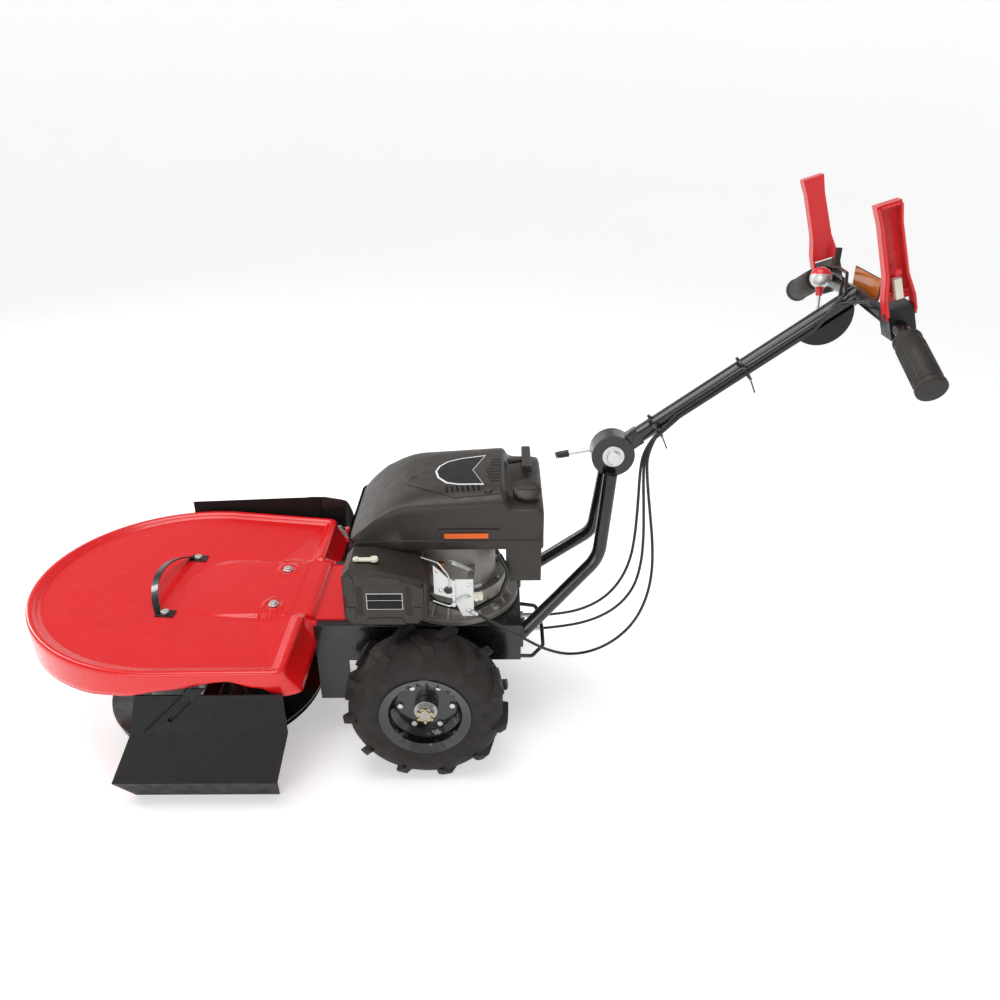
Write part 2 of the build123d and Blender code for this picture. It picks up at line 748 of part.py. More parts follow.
crank_foot = drive_belt_z - 10.0
with BuildPart() as crankshaft:
    cylinder_between((crank_x, 0, crank_foot), (crank_x, 0, flywheel_z + 24.0), crank_radius)
    cylinder_between((crank_x, 0, flywheel_z), (crank_x, 0, flywheel_z + 16.0), flywheel_radius)
save(crankshaft.part, "crankshaft")

head_front = -141.0
head_rear = -62.0
head_half = 62.0
head_low = 344.0
head_high = 456.0
fin_pitch = 11.0
with BuildPart() as cylinder_head:
    box_between((head_front + 4.0, -46.0, head_low + 10.0), (-5.0, 46.0, head_high - 10.0))
    cylinder_between((crank_x, 0, 300.0), (crank_x, 0, 470.0), crankcase_neck, Mode.SUBTRACT)
    for fin in range(8):
        low = head_front + fin * fin_pitch
        box_between((low, -head_half, head_low), (low + 4.0, head_half, head_high))
    box_between((head_front - 11.0, -40.0, head_low + 14.0), (head_front, 40.0, head_high - 16.0))
save(cylinder_head.part, "cylinder_head")

plug_x = head_front - 11.0
with BuildPart() as spark_plug:
    cylinder_between((plug_x, -12.0, 426.0), (plug_x - 12.0, -12.0, 426.0), 8.0)
    cylinder_between((plug_x - 12.0, -12.0, 424.0), (plug_x - 22.0, -12.0, 450.0), 9.0)
save(spark_plug.part, "spark_plug")

with BuildPart() as muffler:
    box_between((-112.0, 92.0, 350.0), (-12.0, 168.0, 440.0))
    fillet(muffler.edges().filter_by(Axis.X), 20.0)
    cylinder_between((-86.0, head_half, 392.0), (-86.0, 96.0, 392.0), 12.0)
save(muffler.part, "muffler")

filter_front = -148.0
filter_rear = 10.0
filter_near = -230.0
filter_far = -134.0
filter_low = 355.0
with BuildPart() as air_filter_cover:
    with BuildSketch(Plane.XZ.offset(-filter_far)):
        with BuildLine():
            Polyline(
                (filter_front, filter_low + 14), (filter_front + 14, filter_low),
                (filter_rear - 14, filter_low), (filter_rear, filter_low + 14),
                (filter_rear, 446), (filter_rear - 16, 456), (-92, 478), (-134, 478),
                (filter_front, 462), close=True,
            )
        make_face()
    extrude(amount=filter_far - filter_near)
    chamfer(air_filter_cover.faces().sort_by(Axis.Y)[0].edges(), 9.0)
    box_between((filter_front + 16, filter_near + 4, filter_low + 4), (filter_rear - 4, filter_far, 446),
                mode=Mode.SUBTRACT)
    box_between((filter_front + 16.3, filter_far - 4.0, filter_low + 4.3),
                (filter_rear - 4.3, filter_far, 445.7))
save(air_filter_cover.part, "air_filter_cover")

with BuildPart() as carburettor:
    box_between((-56.0, filter_far, 384.0), (-8.0, -46.0, 430.0))
    cylinder_between((crank_x, 0, 300.0), (crank_x, 0, 470.0), crankcase_neck + free_gap, Mode.SUBTRACT)
    cylinder_between((-32.0, -110.0, 362.0), (-32.0, -110.0, 384.0), 17.0)
save(carburettor.part, "carburettor")

choke_pivot = (-88.0, -192.0)
choke_z = 478.0 + free_gap
with BuildPart() as choke_lever:
    with BuildSketch(Plane.XY.offset(choke_z)):
        with Locations(choke_pivot):
            Circle(9.0)
        with Locations((choke_pivot[0] - 23.0, choke_pivot[1])):
            Rectangle(46.0, 10.0)
    extrude(amount=6.0)
save(choke_lever.part, "choke_lever")

bracket_y = -190.0
with BuildPart() as control_bracket:
    with BuildSketch(Plane.XZ.offset(-bracket_y)):
        with BuildLine():
            Polyline((22, 468), (52, 436), (98, 436), (98, 352), (76, 352), (60, 392), (22, 404), close=True)
        make_face()
        with Locations((50, 412)):
            Circle(9.0, mode=Mode.SUBTRACT)
    extrude(amount=-3.0)
    box_between((84.0, bracket_y + 3.0, 396.0), (98.0, -60.0, 400.0))
    cylinder_between((crank_x, 0, 300.0), (crank_x, 0, 470.0), crankcase_neck, Mode.SUBTRACT)
    cylinder_between((104.0, -188.0, 355.0), (92.5, -191.0, 364.25), 5.0)
save(control_bracket.part, "control_bracket")

cap_base = (203.0, -76.0, 560.0)
cap_axis = Vector(0, -0.342, 0.94)
cap_radius = 27.0
neck_radius = 19.0


def on_cap_axis(distance):
    """A point on the filler axis, counted from the cap's lower rim."""
    return tuple(Vector(*cap_base) + cap_axis * distance)


tank_front = 162.0
tank_rear = 231.0
tank_low = 392.0
tank_top = 548.0
with BuildPart() as fuel_tank:
    box_between((tank_front, -126.0, tank_low), (tank_rear, 60.0, tank_top))
    box_between((tank_front + 3, -123.0, tank_low + 3), (tank_rear - 3, 57.0, tank_top - 3), Mode.SUBTRACT)
    cylinder_between(on_cap_axis(-34.0), on_cap_axis(10.0), neck_radius)
    cylinder_between(on_cap_axis(-40.0), on_cap_axis(10.0), neck_radius - 3.0, Mode.SUBTRACT)
save(fuel_tank.part, "fuel_tank")

with BuildPart() as fuel_cap:
    cylinder_between(on_cap_axis(0.0), on_cap_axis(20.0), cap_radius)
    cylinder_between(on_cap_axis(0.0), on_cap_axis(11.0), neck_radius + running, Mode.SUBTRACT)
save(fuel_cap.part, "fuel_cap")

shroud_rear = tank_rear + shroud_wall
with BuildPart() as engine_shroud:
    with BuildSketch(Plane.XZ, mode=Mode.PRIVATE) as shroud_side:
        with BuildLine():
            Polyline(
                (-150, shroud_bottom), (-150, 486), (-122, 514), (-94, 538), (-60, 560), (-10, 574),
                (157, 587), (172, 558), (shroud_rear, 556), (shroud_rear, shroud_bottom), close=True,
            )
        make_face()
    with BuildSketch(Plane.YZ, mode=Mode.PRIVATE) as shroud_section:
        with BuildLine():
            Polyline(
                (-shroud_half_width, shroud_bottom), (-shroud_half_width, 552), (-110, 570), (-75, 590),
                (75, 590), (110, 570), (shroud_half_width, 552), (shroud_half_width, shroud_bottom),
                close=True,
            )
        make_face()
    extrude(shroud_side.sketch, amount=shroud_half_width, both=True)
    extrude(shroud_section.sketch, amount=2 * shroud_rear, both=True, mode=Mode.INTERSECT)
    inner_side = offset(shroud_side.sketch, amount=-shroud_wall, kind=Kind.INTERSECTION, mode=Mode.PRIVATE)
    inner_section = offset(
        shroud_section.sketch, amount=-shroud_wall, kind=Kind.INTERSECTION, mode=Mode.PRIVATE
    )
    inside = extrude(inner_side, amount=shroud_half_width, both=True, mode=Mode.PRIVATE)
    across = extrude(inner_section, amount=2 * shroud_rear, both=True, mode=Mode.PRIVATE)
    add(inside & across, mode=Mode.SUBTRACT)
    box_between(
        (tank_front - 1.0, -126.0, shroud_bottom), (tank_rear, 126.0, shroud_bottom + shroud_wall),
        mode=Mode.SUBTRACT,
    )
    cylinder_between((crank_x, 0, shroud_bottom), (crank_x, 0, shroud_bottom + shroud_wall), 70.0,
                     Mode.SUBTRACT)
    cylinder_between(on_cap_axis(-30.0), on_cap_axis(40.0), cap_radius + 3.0, Mode.SUBTRACT)
    # the boss that the starter rope comes out of
    cylinder_between(rope_guide_start, rope_guide_end, rope_guide_radius)
save(engine_shroud.part, "engine_shroud")

with BuildPart() as starter_grip:
    box_between((196.0, 10.0, 568.5), (215.0, 114.0, 582.0))
    fillet(starter_grip.edges().filter_by(Axis.Y), 3.0)
    rope_run = Vector(*rope_end) - Vector(*rope_guide_end)
    rope_start = Vector(*rope_guide_end) + rope_run.normalized() * 2 * free_gap
    cylinder_between(tuple(rope_start), rope_end, rope_radius)
save(starter_grip.part, "starter_grip")

# ---------------------------------------------------------------- forks and rear fittings

tube_angle = degrees(atan2(bar_z - pivot_z, bar_x - pivot_x))
tube_plane = Plane(
    origin=(pivot_x, 0, pivot_z),
    x_dir=(cos(radians(tube_angle)), 0, sin(radians(tube_angle))),
    z_dir=(-sin(radians(tube_angle)), 0, cos(radians(tube_angle))),
)
tube_length = Vector(bar_x - pivot_x, 0, bar_z - pivot_z).length


def on_tube(along, across, above):
    """A point given along, across and above the upper tube's axis."""
    return tuple(tube_plane.from_local_coords(Vector(along, across, above)))


fork_foot = (180.0, 122.4, 246.8)
fork_bend = (352.0, 60.0, 407.0)
fork_head = (371.0, 34.0, 583.0)
for side, name in ((-1, "left"), (1, "right")):
    route = [(x, side * y, z) for x, y, z in (fork_foot, fork_bend, fork_head)]
    with BuildPart() as fork_tube:
        with BuildLine() as fork_line:
            FilletPolyline(*route, radius=70.0)
        with BuildSketch(Plane(origin=route[0], z_dir=Vector(*route[1]) - Vector(*route[0]))):
            Circle(fork_tube_radius)
        sweep()
        box_between((150.0, -150.0, 200.0), (chassis_rear, 150.0, 300.0), mode=Mode.SUBTRACT)
        low, high = sorted((side * 100.0, side * 129.0))
        box_between((chassis_rear, low, 232.0), (chassis_rear + 5.0, high, 283.0))
        inner_face = side * (pivot_disc_half + free_gap)
        outer_face = side * (pivot_disc_half + free_gap + cheek_thickness)
        cylinder_between((pivot_x, inner_face, pivot_z), (pivot_x, outer_face, pivot_z), pivot_disc_radius)
        cylinder_between((pivot_x, inner_face, pivot_z), (pivot_x, outer_face, pivot_z),
                         pivot_bolt_radius, Mode.SUBTRACT)
    save(fork_tube.part, f"{name}_fork_tube")

cheek_face = pivot_disc_half + free_gap + cheek_thickness
guard_radius = 4.0
with BuildPart() as rear_guard_rod:
    route = [
        (192, -28, 272), (226, -30, 268), (238, -62, 238), (240, -98, 214), (216, -122, 204),
        (192, -124, 206),
    ]
    with BuildLine():
        FilletPolyline(*route, radius=9.0)
    with BuildSketch(Plane(origin=route[0], z_dir=Vector(*route[1]) - Vector(*route[0]))):
        Circle(guard_radius)
    sweep()
    box_between((180.0, -140.0, 190.0), (chassis_rear, 0.0, 290.0), mode=Mode.SUBTRACT)
save(rear_guard_rod.part, "rear_guard_rod")

blade_cable_y = -24.5
drive_cable_y = -31.5
throttle_cable_y = -38.5
blade_adjuster_z = 240.0
drive_adjuster_z = 210.0
adjuster_end = 239.6
washer_low = tongue_top + 1.75
with BuildPart() as frame_fasteners:
    for side in (-1, 1):
        with Locations((cover_bolt_x, side * cover_bolt_y, washer_low + 0.8)):
            Cylinder(11.0, 1.6)
        with Locations((cover_bolt_x, side * cover_bolt_y, washer_low + 4.1)):
            Cylinder(7.5, 5.0)
        with Locations(Location((strap_x, side * strap_y, strap_z + 6.9), (0, deck_tilt, 0))):
            Cylinder(8.0, 5.4)
    with Locations((crank_x, 0, chassis_top + sump_flange + 3.5)):
        with PolarLocations(sump_radius - 12.0, 4, start_angle=45.0):
            Cylinder(7.5, 7.0)
    for y, z in ((blade_cable_y, blade_adjuster_z), (drive_cable_y, drive_adjuster_z)):
        cylinder_between((chassis_rear, y, z), (adjuster_end, y, z), 5.0)
        cylinder_between((chassis_rear, y, z), (chassis_rear + 7.0, y, z), 9.0)
    for y, z in ((-62.0, 252.0), (-62.0, 222.0)):
        cylinder_between((chassis_rear, y, z), (chassis_rear + 10.0, y, z), 7.0)
    # the pivot bolt of the handlebar, with its head and washer on the near side
    cylinder_between((pivot_x, -cheek_face, pivot_z), (pivot_x, -cheek_face - 3.0, pivot_z), 22.0)
    cylinder_between((pivot_x, -cheek_face - 3.0, pivot_z), (pivot_x, -cheek_face - 11.0, pivot_z), 13.0)
    cylinder_between((pivot_x, -cheek_face - 3.0, pivot_z), (pivot_x, cheek_face + 20.0, pivot_z),
                     pivot_bolt_radius)
save(frame_fasteners.part, "frame_fasteners")

# ---------------------------------------------------------------- handlebar

bar_route = [
    (bar_end_x, -bar_end_y, bar_end_z), (bar_x, -bar_bend_y, bar_bend_z), (bar_x, 0, bar_z),
    (bar_x, bar_bend_y, bar_bend_z), (bar_end_x, bar_end_y, bar_end_z),
]
with BuildPart() as handlebar_tube:
    with BuildLine():
        FilletPolyline(*bar_route, radius=60.0)
    with BuildSketch(Plane(origin=bar_route[0], z_dir=Vector(*bar_route[1]) - Vector(*bar_route[0]))):
        Circle(bar_tube_radius)
    sweep()
    cylinder_between(on_tube(50.0, 0, 0), on_tube(tube_length, 0, 0), upper_tube_radius)
    cylinder_between((pivot_x, -pivot_disc_half, pivot_z), (pivot_x, pivot_disc_half, pivot_z),
                     pivot_disc_radius)
    with Locations(tube_plane):
        with Locations((35.0, 0, 0)):
            Box(60.0, 2 * pivot_disc_half, 2 * pivot_disc_half)
    cylinder_between((pivot_x, -pivot_disc_half, pivot_z), (pivot_x, pivot_disc_half, pivot_z),
                     pivot_bolt_radius + running, Mode.SUBTRACT)
save(handlebar_tube.part, "handlebar_tube")


def bar_outward(side):
    """The direction in which the bar's end leaves the machine."""
    run = Vector(bar_end_x - bar_x, side * (bar_end_y - bar_bend_y), bar_end_z - bar_bend_z)
    return run.normalized()


with BuildPart() as handle_grips:
    for side in (-1, 1):
        end = Vector(bar_end_x, side * bar_end_y, bar_end_z)
        out = bar_outward(side)
        cylinder_between(tuple(end - out * grip_length), tuple(end + out * 4.0), grip_radius)
        cylinder_between(tuple(end - out * 12.0), tuple(end + out * 4.0), grip_cap_radius)
        cylinder_between(tuple(end - out * (grip_length + 1.0)), tuple(end), bar_tube_radius, Mode.SUBTRACT)
save(handle_grips.part, "handle_grips")

bar_slope = (bar_z - bar_bend_z) / bar_bend_y
block_half = 21.0
block_inner_y = 146.0
block_outer_y = 188.0
block_top = 12.0
throttle_stud = (bar_x + 8.0, block_inner_y, 950.0)
block_bottom = -42.0
lever_half = block_half + free_gap + lever_wall


def lever_plane(side):
    """The frame of a hand lever: x along its pin, y across the machine, z up the lever."""
    lean = radians(lever_lean)
    return Plane(
        origin=(lever_x, side * lever_y, lever_pivot_z),
        x_dir=(cos(lean), 0, sin(lean)),
        z_dir=(-sin(lean), 0, cos(lean)),
    )


def hand_lever(side):
    """A channel-shaped lever that folds down over its grip."""
    with BuildPart() as body:
        with BuildSketch(Plane.XZ.offset(8.0)):
            with BuildLine():
                right = [
                    (lever_half, -6.0), (lever_half, 28.0), (18.0, 66.0), (17.0, 150.0), (20.0, lever_length),
                ]
                left = [(-x, z) for x, z in reversed(right)]
                Polyline(*right, *left, close=True)
            make_face()
        extrude(amount=-20.0)
        with BuildSketch(Plane.XZ.offset(8.0)):
            with BuildLine():
                inner = [(block_half + free_gap, 19.0), (block_half + free_gap, 26.0), (14.5, 66.0),
                         (13.5, 150.0), (16.0, lever_length - 5.0)]
                other = [(-x, z) for x, z in reversed(inner)]
                Polyline(*inner, *other, close=True)
            make_face()
        extrude(amount=-16.0, mode=Mode.SUBTRACT)
        box_between((-block_half - free_gap, -20.0, -20.0), (block_half + free_gap, 20.0, 20.0),
                    mode=Mode.SUBTRACT)
        cylinder_between((-lever_half, 0, 0), (lever_half, 0, 0), lever_pin_radius + running, Mode.SUBTRACT)
        cylinder_between((-20.5, 0, 36.0), (20.5, 0, 36.0), 2.0)
    turned = body.part if side < 0 else body.part.mirror(Plane.XZ)
    return lever_plane(side).location * turned


def lever_latch(side):
    """The rocker that has to be pressed before a lever can be pushed down."""
    with BuildPart() as body:
        box_between((-6.0, -9.0, 26.0), (6.0, 2.5, 60.0))
        cylinder_between((-6.0, 0, 36.0), (6.0, 0, 36.0), 2.0 + running, Mode.SUBTRACT)
    turned = body.part if side < 0 else body.part.mirror(Plane.XZ)
    return lever_plane(side).location * turned


for side, lever_name, latch_name in ((-1, "drive_lever", "drive_latch"), (1, "blade_lever", "blade_latch")):
    save(hand_lever(side), lever_name)
    save(lever_latch(side), latch_name)

with BuildPart() as lever_clamps:
    for side in (-1, 1):
        plane = lever_plane(side)
        near = side * (block_inner_y - lever_y)
        far = side * (block_outer_y - lever_y)
        with Locations(plane):
            with Locations((0, (near + far) / 2, (block_top + block_bottom) / 2)):
                Box(2 * block_half, abs(far - near), block_top - block_bottom)
        pin_start = plane.from_local_coords(Vector(-lever_half - 1.0, 0, 0))
        pin_end = plane.from_local_coords(Vector(lever_half + 1.0, 0, 0))
        cylinder_between(tuple(pin_start), tuple(pin_end), lever_pin_radius)
        cylinder_between((bar_x, side * 100.0, bar_z - 100.0 * bar_slope),
                         (bar_x, side * 200.0, bar_z - 200.0 * bar_slope), bar_tube_radius, Mode.SUBTRACT)
    # the stud that the throttle lever turns on
    cylinder_between(throttle_stud, (throttle_stud[0], block_inner_y - 12.0, throttle_stud[2]), 3.0)
save(lever_clamps.part, "lever_clamps")

throttle_pivot = Vector(throttle_stud[0], block_inner_y - free_gap, throttle_stud[2])
with BuildPart() as throttle_lever:
    cylinder_between(tuple(throttle_pivot), tuple(throttle_pivot - Vector(0, 7.0, 0)), 10.0)
    box_between((throttle_stud[0] - 5.0, block_inner_y - free_gap - 7.0, throttle_stud[2] + 6.0),
                (throttle_stud[0] + 5.0, block_inner_y - free_gap, throttle_stud[2] + 40.0))
    cylinder_between(tuple(throttle_pivot), tuple(throttle_pivot - Vector(0, 8.0, 0)), 3.0 + running,
                     Mode.SUBTRACT)
save(throttle_lever.part, "throttle_lever")

with BuildPart() as shift_housing:
    with BuildSketch(Plane(origin=tube_plane.origin, x_dir=tube_plane.x_dir, z_dir=(0, -1, 0))):
        with BuildLine():
            Line((410.0, -10.0), (520.0, -10.0))
            ThreePointArc((520.0, -10.0), (465.0, -46.0), (410.0, -10.0))
        make_face()
    extrude(amount=20.0, both=True)
    cylinder_between(on_tube(400.0, 0, 0), on_tube(530.0, 0, 0), upper_tube_radius, Mode.SUBTRACT)
    shift_pin = on_tube(*shift_pivot_local)
    cylinder_between((shift_pin[0], 12.0, shift_pin[2]), (shift_pin[0], 44.0, shift_pin[2]), 4.0)
    # the plate behind the crossbar
    box_between((bar_x + bar_tube_radius, -60.0, 924.0), (bar_x + bar_tube_radius + 3.0, 60.0, 972.0))
save(shift_housing.part, "shift_housing")

knob_centre = (762.0, 60.0, 950.0)
with BuildPart() as shift_lever:
    cylinder_between((shift_pin[0], 24.0, shift_pin[2]), (shift_pin[0], 40.0, shift_pin[2]), 9.0)
    cylinder_between((shift_pin[0], 32.0, shift_pin[2]), knob_centre, 4.0)
    cylinder_between((shift_pin[0], 24.0, shift_pin[2]), (shift_pin[0], 40.0, shift_pin[2]), 4.0 + running,
                     Mode.SUBTRACT)
    with Locations(knob_centre):
        Sphere(20.0)
save(shift_lever.part, "shift_lever")

with BuildPart() as clamp_lever:
    hub_inner = cheek_face + free_gap
    cylinder_between((pivot_x, hub_inner, pivot_z), (pivot_x, hub_inner + 16.0, pivot_z), 16.0)
    cylinder_between((pivot_x, hub_inner + 8.0, pivot_z), (268.0, hub_inner + 8.0, 597.0), 4.5)
    cylinder_between((290.0, hub_inner + 8.0, 601.0), (266.0, hub_inner + 8.0, 596.6), 7.0)
    cylinder_between((pivot_x, hub_inner - 1.0, pivot_z), (pivot_x, hub_inner + 17.0, pivot_z),
                     pivot_bolt_radius + running, Mode.SUBTRACT)
save(clamp_lever.part, "clamp_lever")

# ---------------------------------------------------------------- cables


def cable(route, name):
    """A cable of straight runs joined by arcs as large as the runs allow."""
    points = [Vector(*p) for p in route]
    radii = []
    for before, here, after in zip(points, points[1:], points[2:]):
        turn = (here - before).get_angle(after - here)
        shorter = min((here - before).length, (after - here).length)
        radii.append(0.45 * shorter / tan(radians(turn) / 2))
    print(name, "radii", [round(r) for r in radii])
    with BuildPart() as body:
        with BuildLine() as line:
            FilletPolyline(*points, radius=radii)
        with BuildSketch(Plane(origin=points[0], z_dir=points[1] - points[0])):
            Circle(cable_diameter / 2)
        sweep()
    length = line.wire().length
    section = pi * cable_diameter**2 / 4
    print(name, "length", round(length, 1), "volume ratio", round(body.part.volume / (section * length), 4))
    return body.part


blade_route = [
    (449, -24.5, 651), (435, -24.5, 628), (431, -24.5, 582), (432, -24.5, 510), (431, -24.5, 440),
    (425, -24.5, 378), (405, -24.5, 323), (372, -24.5, 281), (328, -24.5, 255), (280, -24.5, 243),
    (240, -24.5, 240),
]
drive_route = [
    (449, -31.5, 651), (437, -31.5, 627), (437, -31.5, 580), (443, -31.5, 508), (448, -31.5, 436),
    (447, -31.5, 372), (436, -31.5, 315), (407, -31.5, 269), (362, -31.5, 236), (301, -31.5, 216),
    (240, -31.5, 210),
]
throttle_route = [
    (449, -38.5, 651), (440, -39, 627), (443, -41, 580), (453, -46, 508), (463, -53, 437), (466, -61, 372),
    (457, -72, 315), (434, -86, 266), (395, -102, 231), (346, -118, 213), (293, -133, 214), (243, -147, 238),
    (199, -162, 276), (150, -176, 318), (104, -188, 355),
]
save(cable(blade_route, "blade_cable"), "blade_cable")
save(cable(drive_route, "drive_cable"), "drive_cable")
save(cable(throttle_route, "throttle_cable"), "throttle_cable")


def ahead(route):
    """A point just before a free cable's first one, on the line of its first run."""
    first, second = Vector(*route[0]), Vector(*route[1])
    return tuple(first + (first - second).normalized() * 2.0 * cable_diameter)


def held_cable(route):
    """A cable that lies clipped along the handlebar, as one bar bent at its points."""
    points = [Vector(*p) for p in route]
    with BuildPart() as body:
        with BuildLine():
            FilletPolyline(*points, radius=12.0)
        with BuildSketch(Plane(origin=points[0], z_dir=points[1] - points[0])):
            Circle(cable_diameter / 2)
        sweep()
    return body.part


block_side = block_inner_y - 3 * free_gap
blade_run = held_cable([
    blade_route[0], ahead(blade_route), on_tube(150, -21, -6), on_tube(440, -21, -6), (770, -26, 930),
    (790, 22, 956), (802, 96, 950), (799, block_side, 942),
])
drive_run = held_cable([
    drive_route[0], ahead(drive_route), on_tube(150, -22.5, 2.5), on_tube(440, -22.5, 2.5),
    (768, -44, 926), (796, -100, 944), (804, -block_side, 944),
])
throttle_run = held_cable([
    throttle_route[0], ahead(throttle_route), on_tube(150, -28.5, -3), on_tube(440, -28.5, -3),
    (776, -34, 942), (796, 24, 966), (806, 96, 962), (804, block_side, 953),
])
with BuildPart() as cable_runs:
    add(blade_run)
    add(drive_run)
    add(throttle_run)
    for along in (98.0, 296.0):
        cylinder_between(on_tube(along, -7.0, 0), on_tube(along + 5.0, -7.0, 0), 26.4)
        cylinder_between(on_tube(along - 1.0, -7.0, 0), on_tube(along + 6.0, -7.0, 0), 24.3, Mode.SUBTRACT)
        cylinder_between(on_tube(along + 2.5, -12.0, -24.0), on_tube(along - 4.0, -14.0, -52.0), 1.4)
    add(blade_run)
    add(drive_run)
    add(throttle_run)
save(cable_runs.part, "cable_runs")
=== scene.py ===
"""Looks of a walk-behind brush mower: wheels, a red cutting deck, an engine and a folding handlebar."""
import json
import math

import bmesh
import bpy
from mathutils import Matrix, Vector


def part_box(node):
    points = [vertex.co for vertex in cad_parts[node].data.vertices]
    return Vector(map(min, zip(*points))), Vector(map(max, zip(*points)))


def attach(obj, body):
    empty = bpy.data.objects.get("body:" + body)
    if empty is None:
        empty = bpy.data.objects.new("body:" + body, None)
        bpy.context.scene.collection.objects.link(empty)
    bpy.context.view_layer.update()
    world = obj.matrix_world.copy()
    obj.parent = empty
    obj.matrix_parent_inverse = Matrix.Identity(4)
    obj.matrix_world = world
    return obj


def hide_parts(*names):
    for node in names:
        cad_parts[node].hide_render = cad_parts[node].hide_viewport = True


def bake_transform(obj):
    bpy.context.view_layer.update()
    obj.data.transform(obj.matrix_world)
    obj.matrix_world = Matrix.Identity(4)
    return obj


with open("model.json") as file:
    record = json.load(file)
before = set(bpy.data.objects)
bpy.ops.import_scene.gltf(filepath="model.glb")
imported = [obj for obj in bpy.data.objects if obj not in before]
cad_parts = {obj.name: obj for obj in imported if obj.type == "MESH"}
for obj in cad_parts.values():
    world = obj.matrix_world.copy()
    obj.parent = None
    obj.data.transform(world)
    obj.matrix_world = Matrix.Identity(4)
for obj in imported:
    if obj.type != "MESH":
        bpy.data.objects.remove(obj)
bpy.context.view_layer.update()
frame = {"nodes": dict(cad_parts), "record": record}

bl_info = {
    "name": "Brush Mower",
    "version": (1, 0, 0),
    "blender": (4, 5, 0),
    "location": "View3D > Sidebar > Mower",
    "description": "Builds the pieces, finishes and stage of a walk-behind brush mower",
    "category": "Add Mesh",
}

MM = 0.001
TURN = 2 * math.pi
LEVER_TILT = math.radians(17.5)


# ---------------------------------------------------------------- sizes and colours
class MowerSizes(bpy.types.PropertyGroup):
    """Sizes of the pressed and moulded pieces, in metres."""

    edge_round: bpy.props.FloatProperty(
        name="Edge round", description="Rounding on the edges of plates and castings",
        default=0.0012, min=0.0002, unit="LENGTH")
    deck_thickness: bpy.props.FloatProperty(
        name="Deck thickness", description="Sheet thickness of the pressed deck cover",
        default=0.002, min=0.001, unit="LENGTH")
    cable_diameter: bpy.props.FloatProperty(
        name="Cable diameter", description="Outer diameter of the control cables",
        default=0.006, min=0.003, unit="LENGTH")


class MowerColours(bpy.types.PropertyGroup):
    """Colours of the finishes."""

    enamel_red: bpy.props.FloatVectorProperty(
        name="Red enamel", description="Colour of the deck cover", subtype="COLOR", size=3,
        default=(0.70, 0.008, 0.010), min=0.0, max=1.0)
    enamel_black: bpy.props.FloatVectorProperty(
        name="Black enamel", description="Colour of the chassis and tubes", subtype="COLOR", size=3,
        default=(0.004, 0.004, 0.0045), min=0.0, max=1.0)
    engine_plastic: bpy.props.FloatVectorProperty(
        name="Engine plastic", description="Colour of the engine covers", subtype="COLOR", size=3,
        default=(0.030, 0.024, 0.019), min=0.0, max=1.0)
    lever_red: bpy.props.FloatVectorProperty(
        name="Red plastic", description="Colour of the hand levers and knob", subtype="COLOR", size=3,
        default=(0.62, 0.016, 0.018), min=0.0, max=1.0)
    latch_cream: bpy.props.FloatVectorProperty(
        name="Cream plastic", description="Colour of the latches and choke lever", subtype="COLOR", size=3,
        default=(0.72, 0.68, 0.56), min=0.0, max=1.0)


def sizes():
    return bpy.context.scene.mower_sizes


def colours():
    return bpy.context.scene.mower_colours


# ---------------------------------------------------------------- finishes
def finish(name, colour, shade=0.75, roughness=(0.35, 0.5), metallic=0.0, coat=0.0, patch=0.06,
           grain=0.0008, bump=0.1, dents=0.0, dent_size=0.02, specular=0.4):
    """A finish with colour mottle, uneven gloss, fine grain and, where asked, shallow dents."""
    made = bpy.data.materials.get(name)
    if made:
        return made
    made = bpy.data.materials.new(name)
    made.use_nodes = True
    tree = made.node_tree
    shader = tree.nodes["Principled BSDF"]
    shader.inputs["Metallic"].default_value = metallic
    shader.inputs["Coat Weight"].default_value = coat
    shader.inputs["Coat Roughness"].default_value = 0.08
    shader.inputs["Specular IOR Level"].default_value = specular
    coordinates = tree.nodes.new("ShaderNodeTexCoord")
    mapping = tree.nodes.new("ShaderNodeMapping")
    tree.links.new(coordinates.outputs["Object"], mapping.inputs["Vector"])

    def pattern(size, detail):
        texture = tree.nodes.new("ShaderNodeTexNoise")
        texture.inputs["Scale"].default_value = 1.0 / size
        texture.inputs["Detail"].default_value = detail
        tree.links.new(mapping.outputs["Vector"], texture.inputs["Vector"])
        return texture.outputs["Fac"]

    mottle = tree.nodes.new("ShaderNodeMix")
    mottle.data_type = "RGBA"
    mottle.inputs[6].default_value = (*[c * shade for c in colour], 1.0)
    mottle.inputs[7].default_value = (*colour, 1.0)
    tree.links.new(pattern(patch, 5.0), mottle.inputs[0])
    tree.links.new(mottle.outputs[2], shader.inputs["Base Color"])
    gloss = tree.nodes.new("ShaderNodeMapRange")
    gloss.inputs["From Min"].default_value = 0.3
    gloss.inputs["From Max"].default_value = 0.7
    gloss.inputs["To Min"].default_value = roughness[0]
    gloss.inputs["To Max"].default_value = roughness[1]
    tree.links.new(pattern(patch * 0.4, 4.0), gloss.inputs["Value"])
    tree.links.new(gloss.outputs["Result"], shader.inputs["Roughness"])
    relief = tree.nodes.new("ShaderNodeBump")
    relief.inputs["Strength"].default_value = bump
    relief.inputs["Distance"].default_value = grain
    tree.links.new(pattern(grain, 2.0), relief.inputs["Height"])
    tree.links.new(relief.outputs["Normal"], shader.inputs["Normal"])
    if dents:
        hollow = tree.nodes.new("ShaderNodeBump")
        hollow.inputs["Strength"].default_value = dents
        hollow.inputs["Distance"].default_value = dent_size * 0.2
        tree.links.new(pattern(dent_size, 3.0), hollow.inputs["Height"])
        tree.links.new(hollow.outputs["Normal"], relief.inputs["Normal"])
    return made


